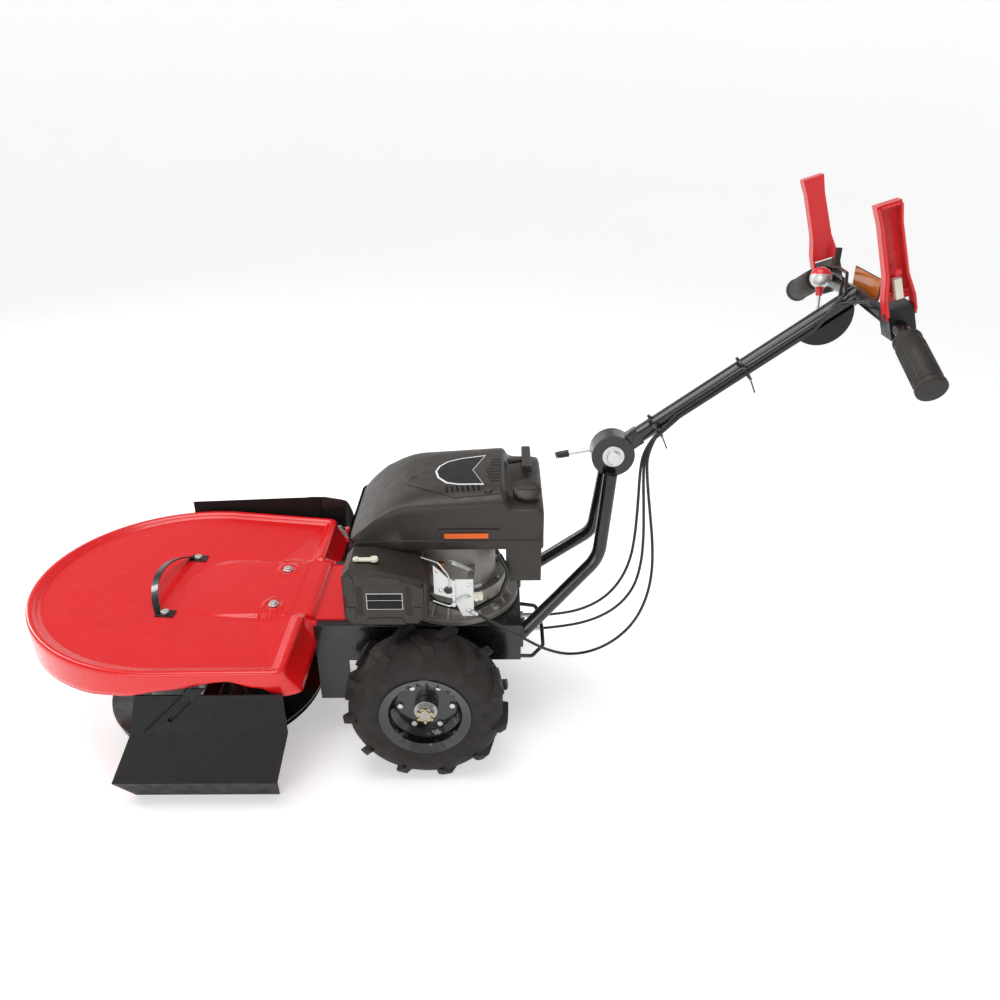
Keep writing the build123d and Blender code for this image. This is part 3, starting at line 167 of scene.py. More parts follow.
def looks(name):
    """The finish of a kind of piece, by its plain name."""
    c = colours()
    recipes = {
        "red enamel": dict(colour=c.enamel_red, specular=0.4, shade=0.9, roughness=(0.2, 0.28),
                           coat=0.35, grain=0.0012, bump=0.03, dents=0.02, dent_size=0.03),
        "black enamel": dict(colour=c.enamel_black, shade=0.7, roughness=(0.2, 0.32), coat=0.5, grain=0.001,
                             bump=0.05),
        "matte black": dict(colour=(0.005, 0.0045, 0.004), specular=0.25, roughness=(0.42, 0.6),
                            grain=0.0006, bump=0.12),
        "rim enamel": dict(colour=(0.004, 0.004, 0.0045), shade=0.6, roughness=(0.1, 0.2), coat=0.7,
                           bump=0.02),
        "engine plastic": dict(colour=c.engine_plastic, shade=0.8, roughness=(0.36, 0.5), grain=0.0005,
                               bump=0.16),
        "black plastic": dict(colour=(0.007, 0.007, 0.0075), roughness=(0.3, 0.45), grain=0.0005,
                              bump=0.12),
        "red plastic": dict(colour=c.lever_red, shade=0.85, roughness=(0.26, 0.38), coat=0.2, bump=0.06),
        "cream plastic": dict(colour=c.latch_cream, shade=0.85, roughness=(0.35, 0.5), bump=0.06),
        "amber plastic": dict(colour=(0.62, 0.16, 0.015), shade=0.6, roughness=(0.15, 0.25), coat=0.6,
                              bump=0.03),
        "orange print": dict(colour=(0.75, 0.12, 0.01), shade=0.9, roughness=(0.35, 0.45), bump=0.05),
        "white print": dict(colour=(0.8, 0.79, 0.76), shade=0.92, roughness=(0.35, 0.45), bump=0.03),
        # Dark print on the badge and label, also used as painted shade for the cover's vent slots.
        "dark print and painted shade": dict(colour=(0.006, 0.005, 0.005), specular=0.2, shade=0.9, roughness=(0.3, 0.4),
                           bump=0.03),
        "cast alloy": dict(colour=(0.40, 0.375, 0.34), shade=0.55, roughness=(0.4, 0.6), metallic=0.45,
                           grain=0.0014, bump=0.35),
        "zinc": dict(colour=(0.38, 0.39, 0.36), shade=0.6, roughness=(0.2, 0.36), metallic=1.0, patch=0.012,
                     bump=0.08),
        "yellow zinc": dict(colour=(0.62, 0.44, 0.2), shade=0.6, roughness=(0.24, 0.4), metallic=1.0,
                            patch=0.01, bump=0.1),
        "steel": dict(colour=(0.42, 0.41, 0.4), shade=0.7, roughness=(0.25, 0.42), metallic=1.0, patch=0.02,
                      bump=0.12),
        "exhaust steel": dict(colour=(0.2, 0.17, 0.14), shade=0.6, roughness=(0.4, 0.6), metallic=1.0,
                              bump=0.2),
        "copper": dict(colour=(0.5, 0.2, 0.1), shade=0.6, roughness=(0.3, 0.45), metallic=1.0, bump=0.1),
        "tyre rubber": dict(colour=(0.020, 0.0165, 0.014), specular=0.3, shade=0.62,
                            roughness=(0.55, 0.8), grain=0.0012, bump=0.22, dents=0.05, dent_size=0.012),
        "grip rubber": dict(colour=(0.022, 0.018, 0.015), shade=0.75, roughness=(0.45, 0.62), grain=0.0006,
                            bump=0.15),
        "belt rubber": dict(colour=(0.03, 0.03, 0.03), roughness=(0.55, 0.7), bump=0.2),
        "cable sheath": dict(colour=(0.006, 0.006, 0.006), roughness=(0.24, 0.36), coat=0.2, bump=0.05),
        "curtain sheet": dict(colour=(0.006, 0.006, 0.006), shade=0.7, roughness=(0.28, 0.5), grain=0.001,
                              bump=0.15, dents=0.35, dent_size=0.035),
        "floor": dict(colour=(0.86, 0.86, 0.86), shade=0.985, roughness=(0.6, 0.7), patch=0.8, grain=0.004,
                      bump=0.02),
    }
    return finish(name, **recipes[name])


# ---------------------------------------------------------------- modelling
def shade_smooth(mesh, angle=35.0):
    """Shades a mesh smooth up to a crease angle."""
    for polygon in mesh.polygons:
        polygon.use_smooth = True
    mesh.set_sharp_from_angle(angle=math.radians(angle))


def piece(name, bm, body, look, stands_for=(), bevel=0.0, thick=0.0, subdivide=0, crease=35.0,
          merge=0.02, ride=True, recalc=True):
    """Turns a bmesh in millimetres into a finished piece that rides on a body."""
    bmesh.ops.remove_doubles(bm, verts=bm.verts, dist=merge)
    if recalc:
        bmesh.ops.recalc_face_normals(bm, faces=bm.faces)
    bmesh.ops.scale(bm, vec=(MM, MM, MM), verts=bm.verts)
    mesh = bpy.data.meshes.new(name)
    bm.to_mesh(mesh)
    bm.free()
    shade_smooth(mesh, crease)
    made = bpy.data.objects.new(name, mesh)
    bpy.context.scene.collection.objects.link(made)
    mesh.materials.append(looks(look))
    if thick:
        wall = made.modifiers.new("Sheet", "SOLIDIFY")
        wall.thickness = thick
        wall.offset = -1.0
    if bevel:
        rounding = made.modifiers.new("Edges", "BEVEL")
        rounding.width = bevel
        rounding.segments = 2
        rounding.limit_method = "ANGLE"
        rounding.angle_limit = math.radians(38)
    if subdivide:
        softening = made.modifiers.new("Soften", "SUBSURF")
        softening.levels = subdivide
        softening.render_levels = subdivide
    if ride:
        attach(made, body)
    if stands_for:
        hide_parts(*stands_for)
    return made


def body_of(node):
    return next(b for b, members in frame["record"]["behaviour"]["bodies"].items() if node in members)


def polish(node, look, bevel=None, crease=32.0):
    """Stands a copy with rounded edges in for a hard part whose shape is right."""
    mesh = frame["nodes"][node].data
    bm = bmesh.new()
    bm.from_mesh(mesh)
    bmesh.ops.scale(bm, vec=(1 / MM, 1 / MM, 1 / MM), verts=bm.verts)
    bmesh.ops.remove_doubles(bm, verts=bm.verts, dist=0.01)
    bmesh.ops.dissolve_limit(bm, angle_limit=math.radians(0.6), verts=bm.verts, edges=bm.edges)
    width = sizes().edge_round if bevel is None else bevel
    return piece(node + "_finished", bm, body_of(node), look, (node,), bevel=width,
                 crease=crease, merge=0.005)


def fresh(bm, before):
    return [v for v in bm.verts if v not in before]


def next_ring(bm, ring, places):
    """Draws the next ring of a loft out of the last one."""
    if ring is None:
        made = bmesh.ops.create_circle(bm, segments=len(places), radius=1.0)["verts"]
    else:
        edges = [bm.edges.get((a, b)) for a, b in zip(ring, ring[1:] + ring[:1])]
        grown = bmesh.ops.extrude_edge_only(bm, edges=edges)["geom"]
        new = {v for v in grown if isinstance(v, bmesh.types.BMVert)}
        made = [next(e.other_vert(v) for e in v.link_edges if e.other_vert(v) in new) for v in ring]
    for vert, place in zip(made, places):
        vert.co = place
    return made


def loft(bm, rings, close_start=True, close_end=True):
    """Joins rings of equal count into a skin, and closes its ends."""
    ring = None
    for index, places in enumerate(rings):
        ring = next_ring(bm, ring, places)
        if index == 0:
            first = ring
    if close_start:
        bm.faces.new(first)
    if close_end:
        bm.faces.new(ring)


def tube(bm, points, radius, sides=14, closed=True):
    """Sweeps a round section along points, with one radius or one for each point."""
    points = [Vector(p) for p in points]
    radii = radius if isinstance(radius, (list, tuple)) else [radius] * len(points)
    rings = []
    normal = None
    for index, point in enumerate(points):
        tangent = (points[min(index + 1, len(points) - 1)] - points[max(index - 1, 0)]).normalized()
        if normal is None:
            normal = tangent.orthogonal().normalized()
        normal = (normal - tangent * normal.dot(tangent)).normalized()
        side = tangent.cross(normal)
        rings.append([
            point + (normal * math.cos(TURN * k / sides) + side * math.sin(TURN * k / sides)) * radii[index]
            for k in range(sides)
        ])
    loft(bm, rings, closed, closed)


def rounded(points, bend, steps=6):
    """A path whose inner corners are turned with a bend radius, for tubes and rods that are bent cold."""
    points = [Vector(p) for p in points]
    path = [points[0]]
    for before, corner, after in zip(points, points[1:], points[2:]):
        back = (before - corner).normalized()
        ahead = (after - corner).normalized()
        half = back.angle(ahead) / 2
        cut = min(bend / math.tan(half), 0.48 * (before - corner).length, 0.48 * (after - corner).length)
        start, end = corner + back * cut, corner + ahead * cut
        for k in range(steps + 1):
            t = k / steps
            path.append((1 - t) ** 2 * start + 2 * t * (1 - t) * corner + t ** 2 * end)
    path.append(points[-1])
    return path


def aim(start, end):
    """A turn that takes +Z to the way from start to end, placed at their middle."""
    start, end = Vector(start), Vector(end)
    turn = Vector((0, 0, 1)).rotation_difference((end - start).normalized()).to_matrix().to_4x4()
    return Matrix.Translation((start + end) / 2) @ turn


def rod(bm, start, end, radius, radius_end=None, sides=24):
    """A straight round rod, or a cone."""
    length = (Vector(end) - Vector(start)).length
    bmesh.ops.create_cone(bm, cap_ends=True, segments=sides, radius1=radius,
                          radius2=radius if radius_end is None else radius_end, depth=length,
                          matrix=aim(start, end))


def block(bm, low, high, turn=None):
    """A box between two corners, turned about its middle if asked."""
    low, high = Vector(low), Vector(high)
    place = Matrix.Translation((low + high) / 2)
    if turn is not None:
        place = place @ turn
    bmesh.ops.create_cube(bm, size=1.0, matrix=place @ Matrix.Diagonal((*(high - low), 1.0)))


def slab(bm, outline, depth):
    """Thickens a flat outline of points by a vector."""
    face = bm.faces.new([bm.verts.new(p) for p in outline])
    grown = bmesh.ops.extrude_face_region(bm, geom=[face])["geom"]
    moved = [v for v in grown if isinstance(v, bmesh.types.BMVert)]
    bmesh.ops.translate(bm, vec=Vector(depth), verts=moved)


def lathe(bm, profile, place=None, steps=48):
    """Spins a profile of (radius, height) about +Z, then places it."""
    before = set(bm.verts)
    chain = [bm.verts.new((r, 0.0, h)) for r, h in profile]
    edges = [bm.edges.new(pair) for pair in zip(chain, chain[1:])]
    bmesh.ops.spin(bm, geom=chain + edges, cent=(0, 0, 0), axis=(0, 0, 1), angle=TURN, steps=steps,
                   use_merge=True, use_duplicate=False)
    made = fresh(bm, before)
    bmesh.ops.remove_doubles(bm, verts=made, dist=0.001)
    if place is not None:
        bmesh.ops.transform(bm, matrix=place, verts=fresh(bm, before))


def hex_bolt(bm, base, way, across=13.0, height=5.0, washer=1.6):
    """A hexagon bolt head on a washer, standing on base and pointing along way."""
    base, way = Vector(base), Vector(way).normalized()
    if washer:
        rod(bm, base, base + way * washer, across * 0.82, sides=24)
    top = base + way * (washer + height)
    rod(bm, base + way * washer, top, across * 0.577, across * 0.55, sides=6)
    rod(bm, top - way * 0.3, top + way * 0.6, across * 0.4, across * 0.36, sides=20)


def pan_screw(bm, base, way, radius=5.0, height=2.4):
    """A domed screw head."""
    way = Vector(way).normalized()
    turn = Vector((0, 0, 1)).rotation_difference(way).to_matrix().to_4x4()
    lathe(bm, [(0, height), (radius * 0.55, height * 0.92), (radius * 0.9, height * 0.55), (radius, 0),
               (0, -1)], Matrix.Translation(base) @ turn, 24)


# ---------------------------------------------------------------- control cables
class MOWER_OT_cables(bpy.types.Operator):
    """Hangs the three control cables from the handlebar down to the chassis and the engine bracket"""

    bl_idname = "mower.cables"
    bl_label = "Control cables"

    def execute(self, context):
        blade = [(0.449, -0.0245, 0.651), (0.435, -0.0245, 0.628), (0.431, -0.0245, 0.582),
                 (0.432, -0.0245, 0.510), (0.431, -0.0245, 0.440), (0.425, -0.0245, 0.378),
                 (0.405, -0.0245, 0.323), (0.372, -0.0245, 0.281), (0.328, -0.0245, 0.255),
                 (0.280, -0.0245, 0.243), (0.240, -0.0245, 0.240)]
        drive = [(0.449, -0.0315, 0.651), (0.437, -0.0315, 0.627), (0.437, -0.0315, 0.580),
                 (0.443, -0.0315, 0.508), (0.448, -0.0315, 0.436), (0.447, -0.0315, 0.372),
                 (0.436, -0.0315, 0.315), (0.407, -0.0315, 0.269), (0.362, -0.0315, 0.236),
                 (0.301, -0.0315, 0.216), (0.240, -0.0315, 0.210)]
        throttle = [
            (0.449, -0.0385, 0.651), (0.440, -0.039, 0.627), (0.443, -0.041, 0.580), (0.453, -0.046, 0.508),
            (0.463, -0.053, 0.437), (0.466, -0.061, 0.372), (0.457, -0.072, 0.315), (0.434, -0.086, 0.266),
            (0.395, -0.102, 0.231), (0.346, -0.118, 0.213), (0.293, -0.133, 0.214), (0.243, -0.147, 0.238),
            (0.199, -0.162, 0.276), (0.150, -0.176, 0.318), (0.104, -0.188, 0.355),
        ]
        for node, route, length in (("blade_cable", blade, 0.5279), ("drive_cable", drive, 0.5736),
                                    ("throttle_cable", throttle, 0.8023)):
            self.hang(node, route, length)
        return {"FINISHED"}

    def hang(self, node, route, length):
        path = smooth_line(route)
        bm = bmesh.new()
        tube(bm, [p / MM for p in path], sizes().cable_diameter / 2 / MM, 12)
        made = piece(node + "_hung", bm, "frame", "cable sheath", (node,), crease=60.0,
                     ride=False)
        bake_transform(made)


def smooth_line(route):
    """Points along the smooth line that the control points draw."""
    curve = bpy.data.curves.new("route", "CURVE")
    curve.dimensions = "3D"
    line = curve.splines.new("NURBS")
    line.points.add(len(route) - 1)
    for point, place in zip(line.points, route):
        point.co = (*place, 1.0)
    line.order_u = 3
    line.use_endpoint_u = True
    line.resolution_u = 8
    holder = bpy.data.objects.new("route", curve)
    bpy.context.scene.collection.objects.link(holder)
    mesh = bpy.data.meshes.new_from_object(holder)
    points = [v.co.copy() for v in mesh.vertices]
    bpy.data.objects.remove(holder)
    bpy.data.curves.remove(curve)
    bpy.data.meshes.remove(mesh)
    return points


# ---------------------------------------------------------------- deck cover
DECK_CENTRE_X = -516.9
DECK_RADIUS = 325.0
DECK_HALF = 307.0
DECK_REAR = -254.0
TANGENT_ANGLE = math.radians(85.9)
TONGUE_HALF = 108.0
REAR_MARKS = (285, 262, 238, 214, 190, 168, 150, 138, 130, 127, 118, 109.5, 108, 98, 84, 70, 56, 42, 28, 14)
RIM = ((0, -6), (0.5, -3.7), (1.8, -1.8), (3.7, -0.5), (6, 0), (9, 0.3), (13, 0), (15.5, -2), (18, -4),
       (22, -4.6), (24.5, -6.4), (26.5, -8.4), (30, -9))
TONGUE_RUN = ((-247, 300), (-240, 300), (-237.5, 297), (-236, 293), (-234, 290), (-183, 290), (-132, 290))


def between(x, marks):
    """A value read off a list of (x, value) marks, eased between them."""
    for (x0, v0), (x1, v1) in zip(marks, marks[1:]):
        if x <= x1:
            t = max(0.0, min(1.0, (x - x0) / (x1 - x0)))
            return v0 + (v1 - v0) * t * t * (3 - 2 * t)
    return marks[-1][1]


def step(value, low, high):
    t = max(0.0, min(1.0, (value - low) / (high - low)))
    return t * t * (3 - 2 * t)


def deck_outline(inset):
    """The deck's plan line at an inset, as (x, y, rearward lean)."""
    radius, half, rear = DECK_RADIUS - inset, DECK_HALF - 0.93 * inset, DECK_REAR - inset
    corner = max(22.0 - inset, 2.0)
    span = half - corner
    start = TANGENT_ANGLE
    points = []
    for k in range(141):
        angle = start + (TURN - 2 * start) * k / 140
        points.append((DECK_CENTRE_X + radius * math.cos(angle), radius * math.sin(angle), 0.0))
    left = DECK_CENTRE_X + radius * math.cos(start)
    for side in (-1, 1):
        wide = radius * math.sin(start)
        run = [(left + (rear - corner - left) * k / 20, side * (wide + (half - wide) * k / 20), 0.0)
               for k in range(1, 20)]
        turn = []
        for k in range(9):
            angle = math.pi / 2 * k / 8
            turn.append((rear - corner + corner * math.sin(angle), side * (span + corner * math.cos(angle)),
                         math.sin(angle) ** 2))
        marks = [(rear, side * m * span / 285, 1.0) for m in REAR_MARKS[1:]]
        half_loop = run + turn + marks
        points += half_loop if side < 0 else [(rear, 0.0, 1.0)] + half_loop[::-1]
    return points


def deck_plane(x):
    return 306 + (DECK_REAR - x) * 0.0524


def deck_surface(x, y, drop):
    """Height of the pressed sheet at a place, where drop is how far it lies under the rim plane."""
    z = deck_plane(x) - drop
    reach = math.hypot(min(x + 436, 0.0), y)
    plateau = 300 + 3 * max(0.0, min(1.0, (-240 - x) / 172))
    z += (plateau - z) * (1 - step(reach, 105.5, 111.5))
    for side in (-1, 1):
        away = math.hypot(x + 328, y - side * 70)
        z += 1.6 * step(away, 12, 19) * (1 - step(away, 20, 26)) - 1.5 * (1 - step(away, 11, 18))
    return z


class MOWER_OT_deck(bpy.types.Operator):
    """Presses the deck cover: wavy skirt, rounded rim, dished floor, raised tongue and bolt dimples"""

    bl_idname = "mower.deck"
    bl_label = "Deck cover"

    def execute(self, context):
        bm = bmesh.new()
        outer = deck_outline(0)
        rows = []
        ring = None
        skirt = [self.skirt(outer, level / 6) for level in range(7)]
        rim = [[Vector((x, y, self.rim_height(x, y, inset, drop)))
                for x, y, lean in deck_outline(inset)] for inset, drop in RIM]
        floor_line = deck_outline(30)
        floors = []
        for k in range(1, 72):
            share = 1 - k / 72
            drop = 9 + 7 * min(1.0, (1 - share) / 0.62)
            floors.append([
                Vector((-400 + (x + 400) * share, y * share,
                        deck_surface(-400 + (x + 400) * share, y * share, drop)))
                for x, y, lean in floor_line
            ])
        for places in skirt[:-1] + rim + floors:
            ring = next_ring(bm, ring, places)
            rows.append(ring)
        bmesh.ops.pointmerge(bm, verts=rows[-1], merge_co=rows[-1][0].co)
        rows.pop()
        skirt_verts = set(sum(rows[:7], []))
        beside_tongue = {
            vert for row in rows[:7] for vert, (x, y, lean) in zip(row, outer)
            if lean == 1.0 and TONGUE_HALF + 0.7 < abs(y) < TONGUE_HALF + 3
        }
        gap = {
            face for vert in beside_tongue for face in vert.link_faces
            if any(abs(v.co.y) < TONGUE_HALF + 0.5 for v in face.verts) and skirt_verts.issuperset(face.verts)
        }
        bmesh.ops.delete(bm, geom=list(gap), context="FACES_ONLY")
        for side in (-1, 1):
            path = [(-254, 300.2)] + list(TONGUE_RUN)
            slab(bm, [Vector((x, side * TONGUE_HALF, z)) for x, z in path]
                 + [Vector((x, side * TONGUE_HALF, z - 9)) for x, z in reversed(path)], (0, -side * 0.8, 0))
        bm.normal_update()
        top = max(bm.faces, key=self.floor_area)
        if top.normal.z < 0:
            bmesh.ops.reverse_faces(bm, faces=bm.faces)
        piece("deck_pressing", bm, "frame", "red enamel", ("deck_cover",),
              thick=sizes().deck_thickness, crease=50.0, recalc=False)
        self.bolts()
        return {"FINISHED"}

    @staticmethod
    def floor_area(face):
        """Area of a face of the dished floor, and nothing for any other face."""
        middle = face.calc_center_median()
        return face.calc_area() if middle.z > 295 and middle.x < -500 else 0.0

    def skirt(self, outer, up):
        """A row of the skirt, from the wavy lower edge at 0 to the rim at 1."""
        places = []
        for x, y, lean in outer:
            low = between(x, ((-900, 262), (-640, 262), (-560, 268), (-477, 280), (-364, 293), (-305, 274),
                              (-262, 250), (-230, 247)))
            if lean == 1.0 and abs(y) <= TONGUE_HALF + 0.5:
                along, height = TONGUE_RUN[::-1][round(up * 6)]
                places.append(Vector((along, y, height)))
                continue
            if lean == 1.0 and abs(y) < 127.5:
                low = 288
            high = deck_plane(x) - 6
            flare = 26 * lean * (1 - up) ** 1.6
            places.append(Vector((x + flare, y, low + (high - low) * up)))
        return places

    def rim_height(self, x, y, inset, drop):
        z = deck_plane(x) + drop
        if x > -300:
            low = 300.2
            z += (low - z) * (1 - step(abs(y), TONGUE_HALF, TONGUE_HALF + 9)) * step(x, -287, -283)
        return z

    def bolts(self):
        bm = bmesh.new()
        for side in (-1, 1):
            base = Vector((-328, side * 70, 301.75))
            rod(bm, base, base + Vector((0, 0, 1.6)), 11, sides=32)
            pan_screw(bm, base + Vector((0, 0, 1.6)), (0, 0, 1), 7.5, 5)
        block(bm, (-134, -22, 291), (-120, 22, 293))
        piece("deck_bolt_heads", bm, "frame", "zinc", bevel=0.0004)


# ---------------------------------------------------------------- engine covers
COVER_FLAT = 0.56
COVER_SQUARENESS = 2.3
COVER_RIDGE = ((-150, 474), (-149.4, 480), (-147.5, 485), (-144, 490), (-138, 497), (-122, 513),
               (-94, 537), (-60, 558), (-36, 567.5), (-10, 573.5), (70, 580), (146, 586), (153, 586),
               (157, 584.5), (160, 581), (164, 571), (168, 563), (172, 559), (178, 557.5), (220, 556),
               (228, 555), (232.5, 552), (235, 546))
COVER_HALF = ((-150, 100), (-149.4, 108), (-147.5, 115), (-144, 120), (-138, 124.5), (-130, 127.5),
              (-120, 129.4), (-110, 130), (225, 130), (230, 129.4), (233, 127.5), (235, 123))


def read(x, marks):
    """A value read off straight runs between (x, value) marks."""
    for (x0, v0), (x1, v1) in zip(marks, marks[1:]):
        if x <= x1:
            return v0 + (v1 - v0) * (x - x0) / (x1 - x0)
    return marks[-1][1]


def cover_section(x):
    """Ridge height, shoulder height and half width of the top cover at a place along it."""
    ridge = read(x, COVER_RIDGE)
    return ridge, min(ridge - 7, 552 - 26 * (1 - step(x, -120, -20))), read(x, COVER_HALF)


class MOWER_OT_engine_covers(bpy.types.Operator):
    """Moulds the engine's top cover with its badge plate and vents, the vents painted as dark shade, the tank
    and the fuel cap
    """

    bl_idname = "mower.engine_covers"
    bl_label = "Engine covers"

    def execute(self, context):
        self.shell()
        polish("fuel_tank", "engine plastic", 0.005, 30)
        bm = bmesh.new()
        top = self.height
        outline = [(-50, 0), (-34, 44), (6, 62), (60, 72), (148, 72), (152, -112), (60, -116), (0, -80),
                   (-34, -44)]
        self.plate(bm, outline, 0.0, 2.2)
        piece("cover_panel", bm, "frame", "engine plastic", bevel=0.0012)
        badge = [(19, -6), (25, 18), (41, 38), (70, 50), (121, 56), (96, -13), (119, -84), (70, -77),
                 (44, -65), (25, -36)]
        bm = bmesh.new()
        self.plate(bm, badge, 2.2, 0.5)
        piece("badge_border", bm, "frame", "white print")
        bm = bmesh.new()
        middle = Vector((78, -12))
        inner = [middle + (Vector(p) - middle) * 0.93 for p in badge]
        self.plate(bm, inner, 2.7, 0.4)
        piece("badge_field", bm, "frame", "dark print and painted shade")
        # The vent slots and the round hole are thin dark plates on the cover: painted shade standing in for
        # the openings.
        bm = bmesh.new()
        for k in range(7):
            x = 43 + k * 10.3
            self.plate(bm, [(x, -80), (x + 4.6, -80), (x + 7.6, -102), (x + 3, -102)], 2.2, 0.35)
        for k in range(8):
            y = -72 + k * 14.5
            short = 10 * abs(k - 4) / 4 + (6 if k > 4 else 0)
            self.plate(bm, [(121 + short, y), (151, y), (151, y + 6), (121 + short, y + 6)], 2.2, 0.35)
        self.plate(bm, [(-23 + 8 * math.cos(TURN * k / 20),
                         -21 + 8 * math.sin(TURN * k / 20)) for k in range(20)],
                   2.2, 0.35)
        piece("cover_vents_painted_shade", bm, "frame", "dark print and painted shade")
        bm = bmesh.new()
        rod(bm, (127, -104, top(127) - 14), (127, -104, top(127) + 1.5), 8.5, sides=28)
        block(bm, (30, -131.5, 508), (150, -129.6, 512))
        block(bm, (-120, -131.2, 484), (220, -129.6, 487))
        piece("cover_post", bm, "frame", "engine plastic", bevel=0.001)
        bm = bmesh.new()
        block(bm, (41.5, -130.6, 492), (127, -129.9, 503))
        piece("side_strip", bm, "frame", "orange print")
        self.cap()
        return {"FINISHED"}

    def shell(self):
        """The blown shape of the top cover, from its front nose to its tail over the tank."""
        bm = bmesh.new()
        rings = []
        for x in (-150, -149.4, -147.5, -144, -138, -130, -122, -112, -102, -94, -84, -72, -60, -48, -36,
                  -24, -10, 10, 30, 50, 70, 90, 110, 130, 146, 153, 157, 160, 164, 168, 172, 178, 190,
                  205, 220, 228, 232.5, 234.4, 235):
            ridge, shoulder, half = cover_section(x)
            low = 466.0
            swell = 1.8 * step(x, -100, -40)
            wall = [(half - 3, low), (half - 0.8, low + 1), (half, low + 4), (half, low + 20),
                    (half - swell, low + 22), (half - swell, low + (shoulder - low) * 0.6),
                    (half - swell * 0.5, shoulder - 8), (half, shoulder - 3)]
            crown = []
            for k in range(1, 13):
                angle = math.pi / 2 * k / 12
                reach = COVER_FLAT + (1 - COVER_FLAT) * math.cos(angle) ** (2 / COVER_SQUARENESS)
                climb = math.sin(angle) ** (2 / COVER_SQUARENESS)
                crown.append((half * reach, shoulder + (ridge - shoulder) * climb))
            side = wall + crown + [(half * 0.4, ridge), (half * 0.2, ridge)]
            loop = side + [(0.0, ridge)] + [(-y, z) for y, z in reversed(side)]
            rings.append([Vector((x, y, z)) for y, z in loop])
        loft(bm, rings)
        piece("engine_cover_shell", bm, "frame", "engine plastic", ("engine_shroud",),
              crease=40)

    @staticmethod
    def height(x, y=0.0):
        """Height of the top cover's outer face."""
        ridge, shoulder, half = cover_section(x)
        out = max(0.0, min(1.0, (abs(y) - COVER_FLAT * half) / ((1 - COVER_FLAT) * half)))
        return shoulder + (ridge - shoulder) * (1 - out ** COVER_SQUARENESS) ** (1 / COVER_SQUARENESS)

    def plate(self, bm, outline, lift, depth):
        """A thin plate that lies on the cover, cut so that it follows the cover's facets."""
        before = set(bm.verts)
        face = bm.faces.new([bm.verts.new((x, y, 0)) for x, y in outline])
        faces = [face]
        across = [((cut, 0, 0), (1, 0, 0)) for cut in (-60.0, -36.0, -10.0, 70.0)]
        along = [((0, cut, 0), (0, 1, 0)) for cut in (-75.0, 75.0, -88.0, -98.0, -106.0)]
        for place, normal in across + along:
            edges = list({e for f in faces for e in f.edges})
            verts = list({v for f in faces for v in f.verts})
            bmesh.ops.bisect_plane(bm, geom=faces + edges + verts, plane_co=place, plane_no=normal,
                                   dist=0.001)
            faces = [f for f in bm.faces if all(v not in before for v in f.verts)]
        grown = bmesh.ops.extrude_face_region(bm, geom=faces)["geom"]
        upper = {v for v in grown if isinstance(v, bmesh.types.BMVert)}
        for vert in fresh(bm, before):
            vert.co.z = self.height(vert.co.x, vert.co.y) + lift + (depth if vert in upper else -0.6)

    def cap(self):
        bm = bmesh.new()
        tilt = Matrix.Rotation(math.radians(20), 4, "X")
        place = Matrix.Translation((203, -76, 560)) @ tilt
        lathe(bm, [(0, -4), (22, -4), (26, -2), (26.6, 2), (26.6, 4), (25.4, 5), (26.6, 6), (27, 12),
                   (26, 15.5), (22, 17.6), (8, 18.6), (0, 18.6)], place, 60)
        knurl = Matrix.Translation((26, 0, 10)) @ Matrix.Diagonal((3.2, 4.4, 11, 1))
        for k in range(14):
            spot = place @ Matrix.Rotation(TURN * k / 14, 4, "Z")
            bmesh.ops.create_cube(bm, size=1.0, matrix=spot @ knurl)
        bar = Matrix.Translation((0, 0, 18)) @ Matrix.Diagonal((34, 8, 3, 1))
        bmesh.ops.create_cube(bm, size=1.0, matrix=place @ bar)
        piece("fuel_cap_moulded", bm, "cap", "engine plastic", ("fuel_cap",), bevel=0.0006)


# ---------------------------------------------------------------- engine
class MOWER_OT_air_filter(bpy.types.Operator):
    """Moulds the air filter cover with its reliefs, corner ribs, bare label and choke lever"""

    bl_idname = "mower.air_filter"
    bl_label = "Air filter"

    def execute(self, context):
        polish("air_filter_cover", "engine plastic", 0.003, 30)
        face = -230.0
        bm = bmesh.new()
        for outline in (
            [(-112, 470), (-34, 462), (-44, 450), (-102, 450)],
            [(-108, 362), (-30, 362), (-38, 376), (-100, 376)],
            [(-143, 378), (-130, 366), (-124, 372), (-124, 400), (-143, 400)],
            [(-143, 428), (-124, 428), (-124, 462), (-132, 472), (-143, 458)],
            [(-14, 372), (2, 378), (2, 400), (-14, 400)],
            [(-14, 428), (2, 428), (2, 442), (-14, 452)],
        ):
            slab(bm, [Vector((x, face + 0.6, z)) for x, z in outline], (0, -2.8, 0))
        for k in range(4):
            block(bm, (-120 + k * 3, face - 1.2, 381), (-118.6 + k * 3, face + 0.5, 446))
            block(bm, (-28 + k * 3, face - 1.2, 381), (-26.6 + k * 3, face + 0.5, 446))
        piece("filter_reliefs", bm, "frame", "engine plastic", bevel=0.0012)
        bm = bmesh.new()
        block(bm, (-102, face - 1.0, 396), (-34, face + 0.5, 431))
        piece("filter_label_edge", bm, "frame", "white print")
        bm = bmesh.new()
        block(bm, (-101, face - 1.3, 397), (-35, face + 0.5, 415.5))
        block(bm, (-101, face - 1.3, 416.5), (-35, face + 0.5, 430))
        piece("filter_label_field", bm, "frame", "dark print and painted shade")
        bm = bmesh.new()
        middle = Vector((-88, -192, 480.6))
        slab(bm, [middle + Vector(p) for p in ((6, -6, 0), (8, 0, 0), (6, 6, 0), (-34, 5, 0), (-40, 3, 0),
                                               (-40, -3, 0), (-34, -5, 0))], (0, 0, 4))
        rod(bm, middle + Vector((0, 0, 0)), middle + Vector((0, 0, 6.4)), 8.5, 7.5, 28)
        rod(bm, middle + Vector((-34, 0, 0)), middle + Vector((-34, 0, 6)), 6, 5.5, 24)
        piece("choke_lever_moulded", bm, "choke", "cream plastic", ("choke_lever",),
              bevel=0.0008)
        return {"FINISHED"}


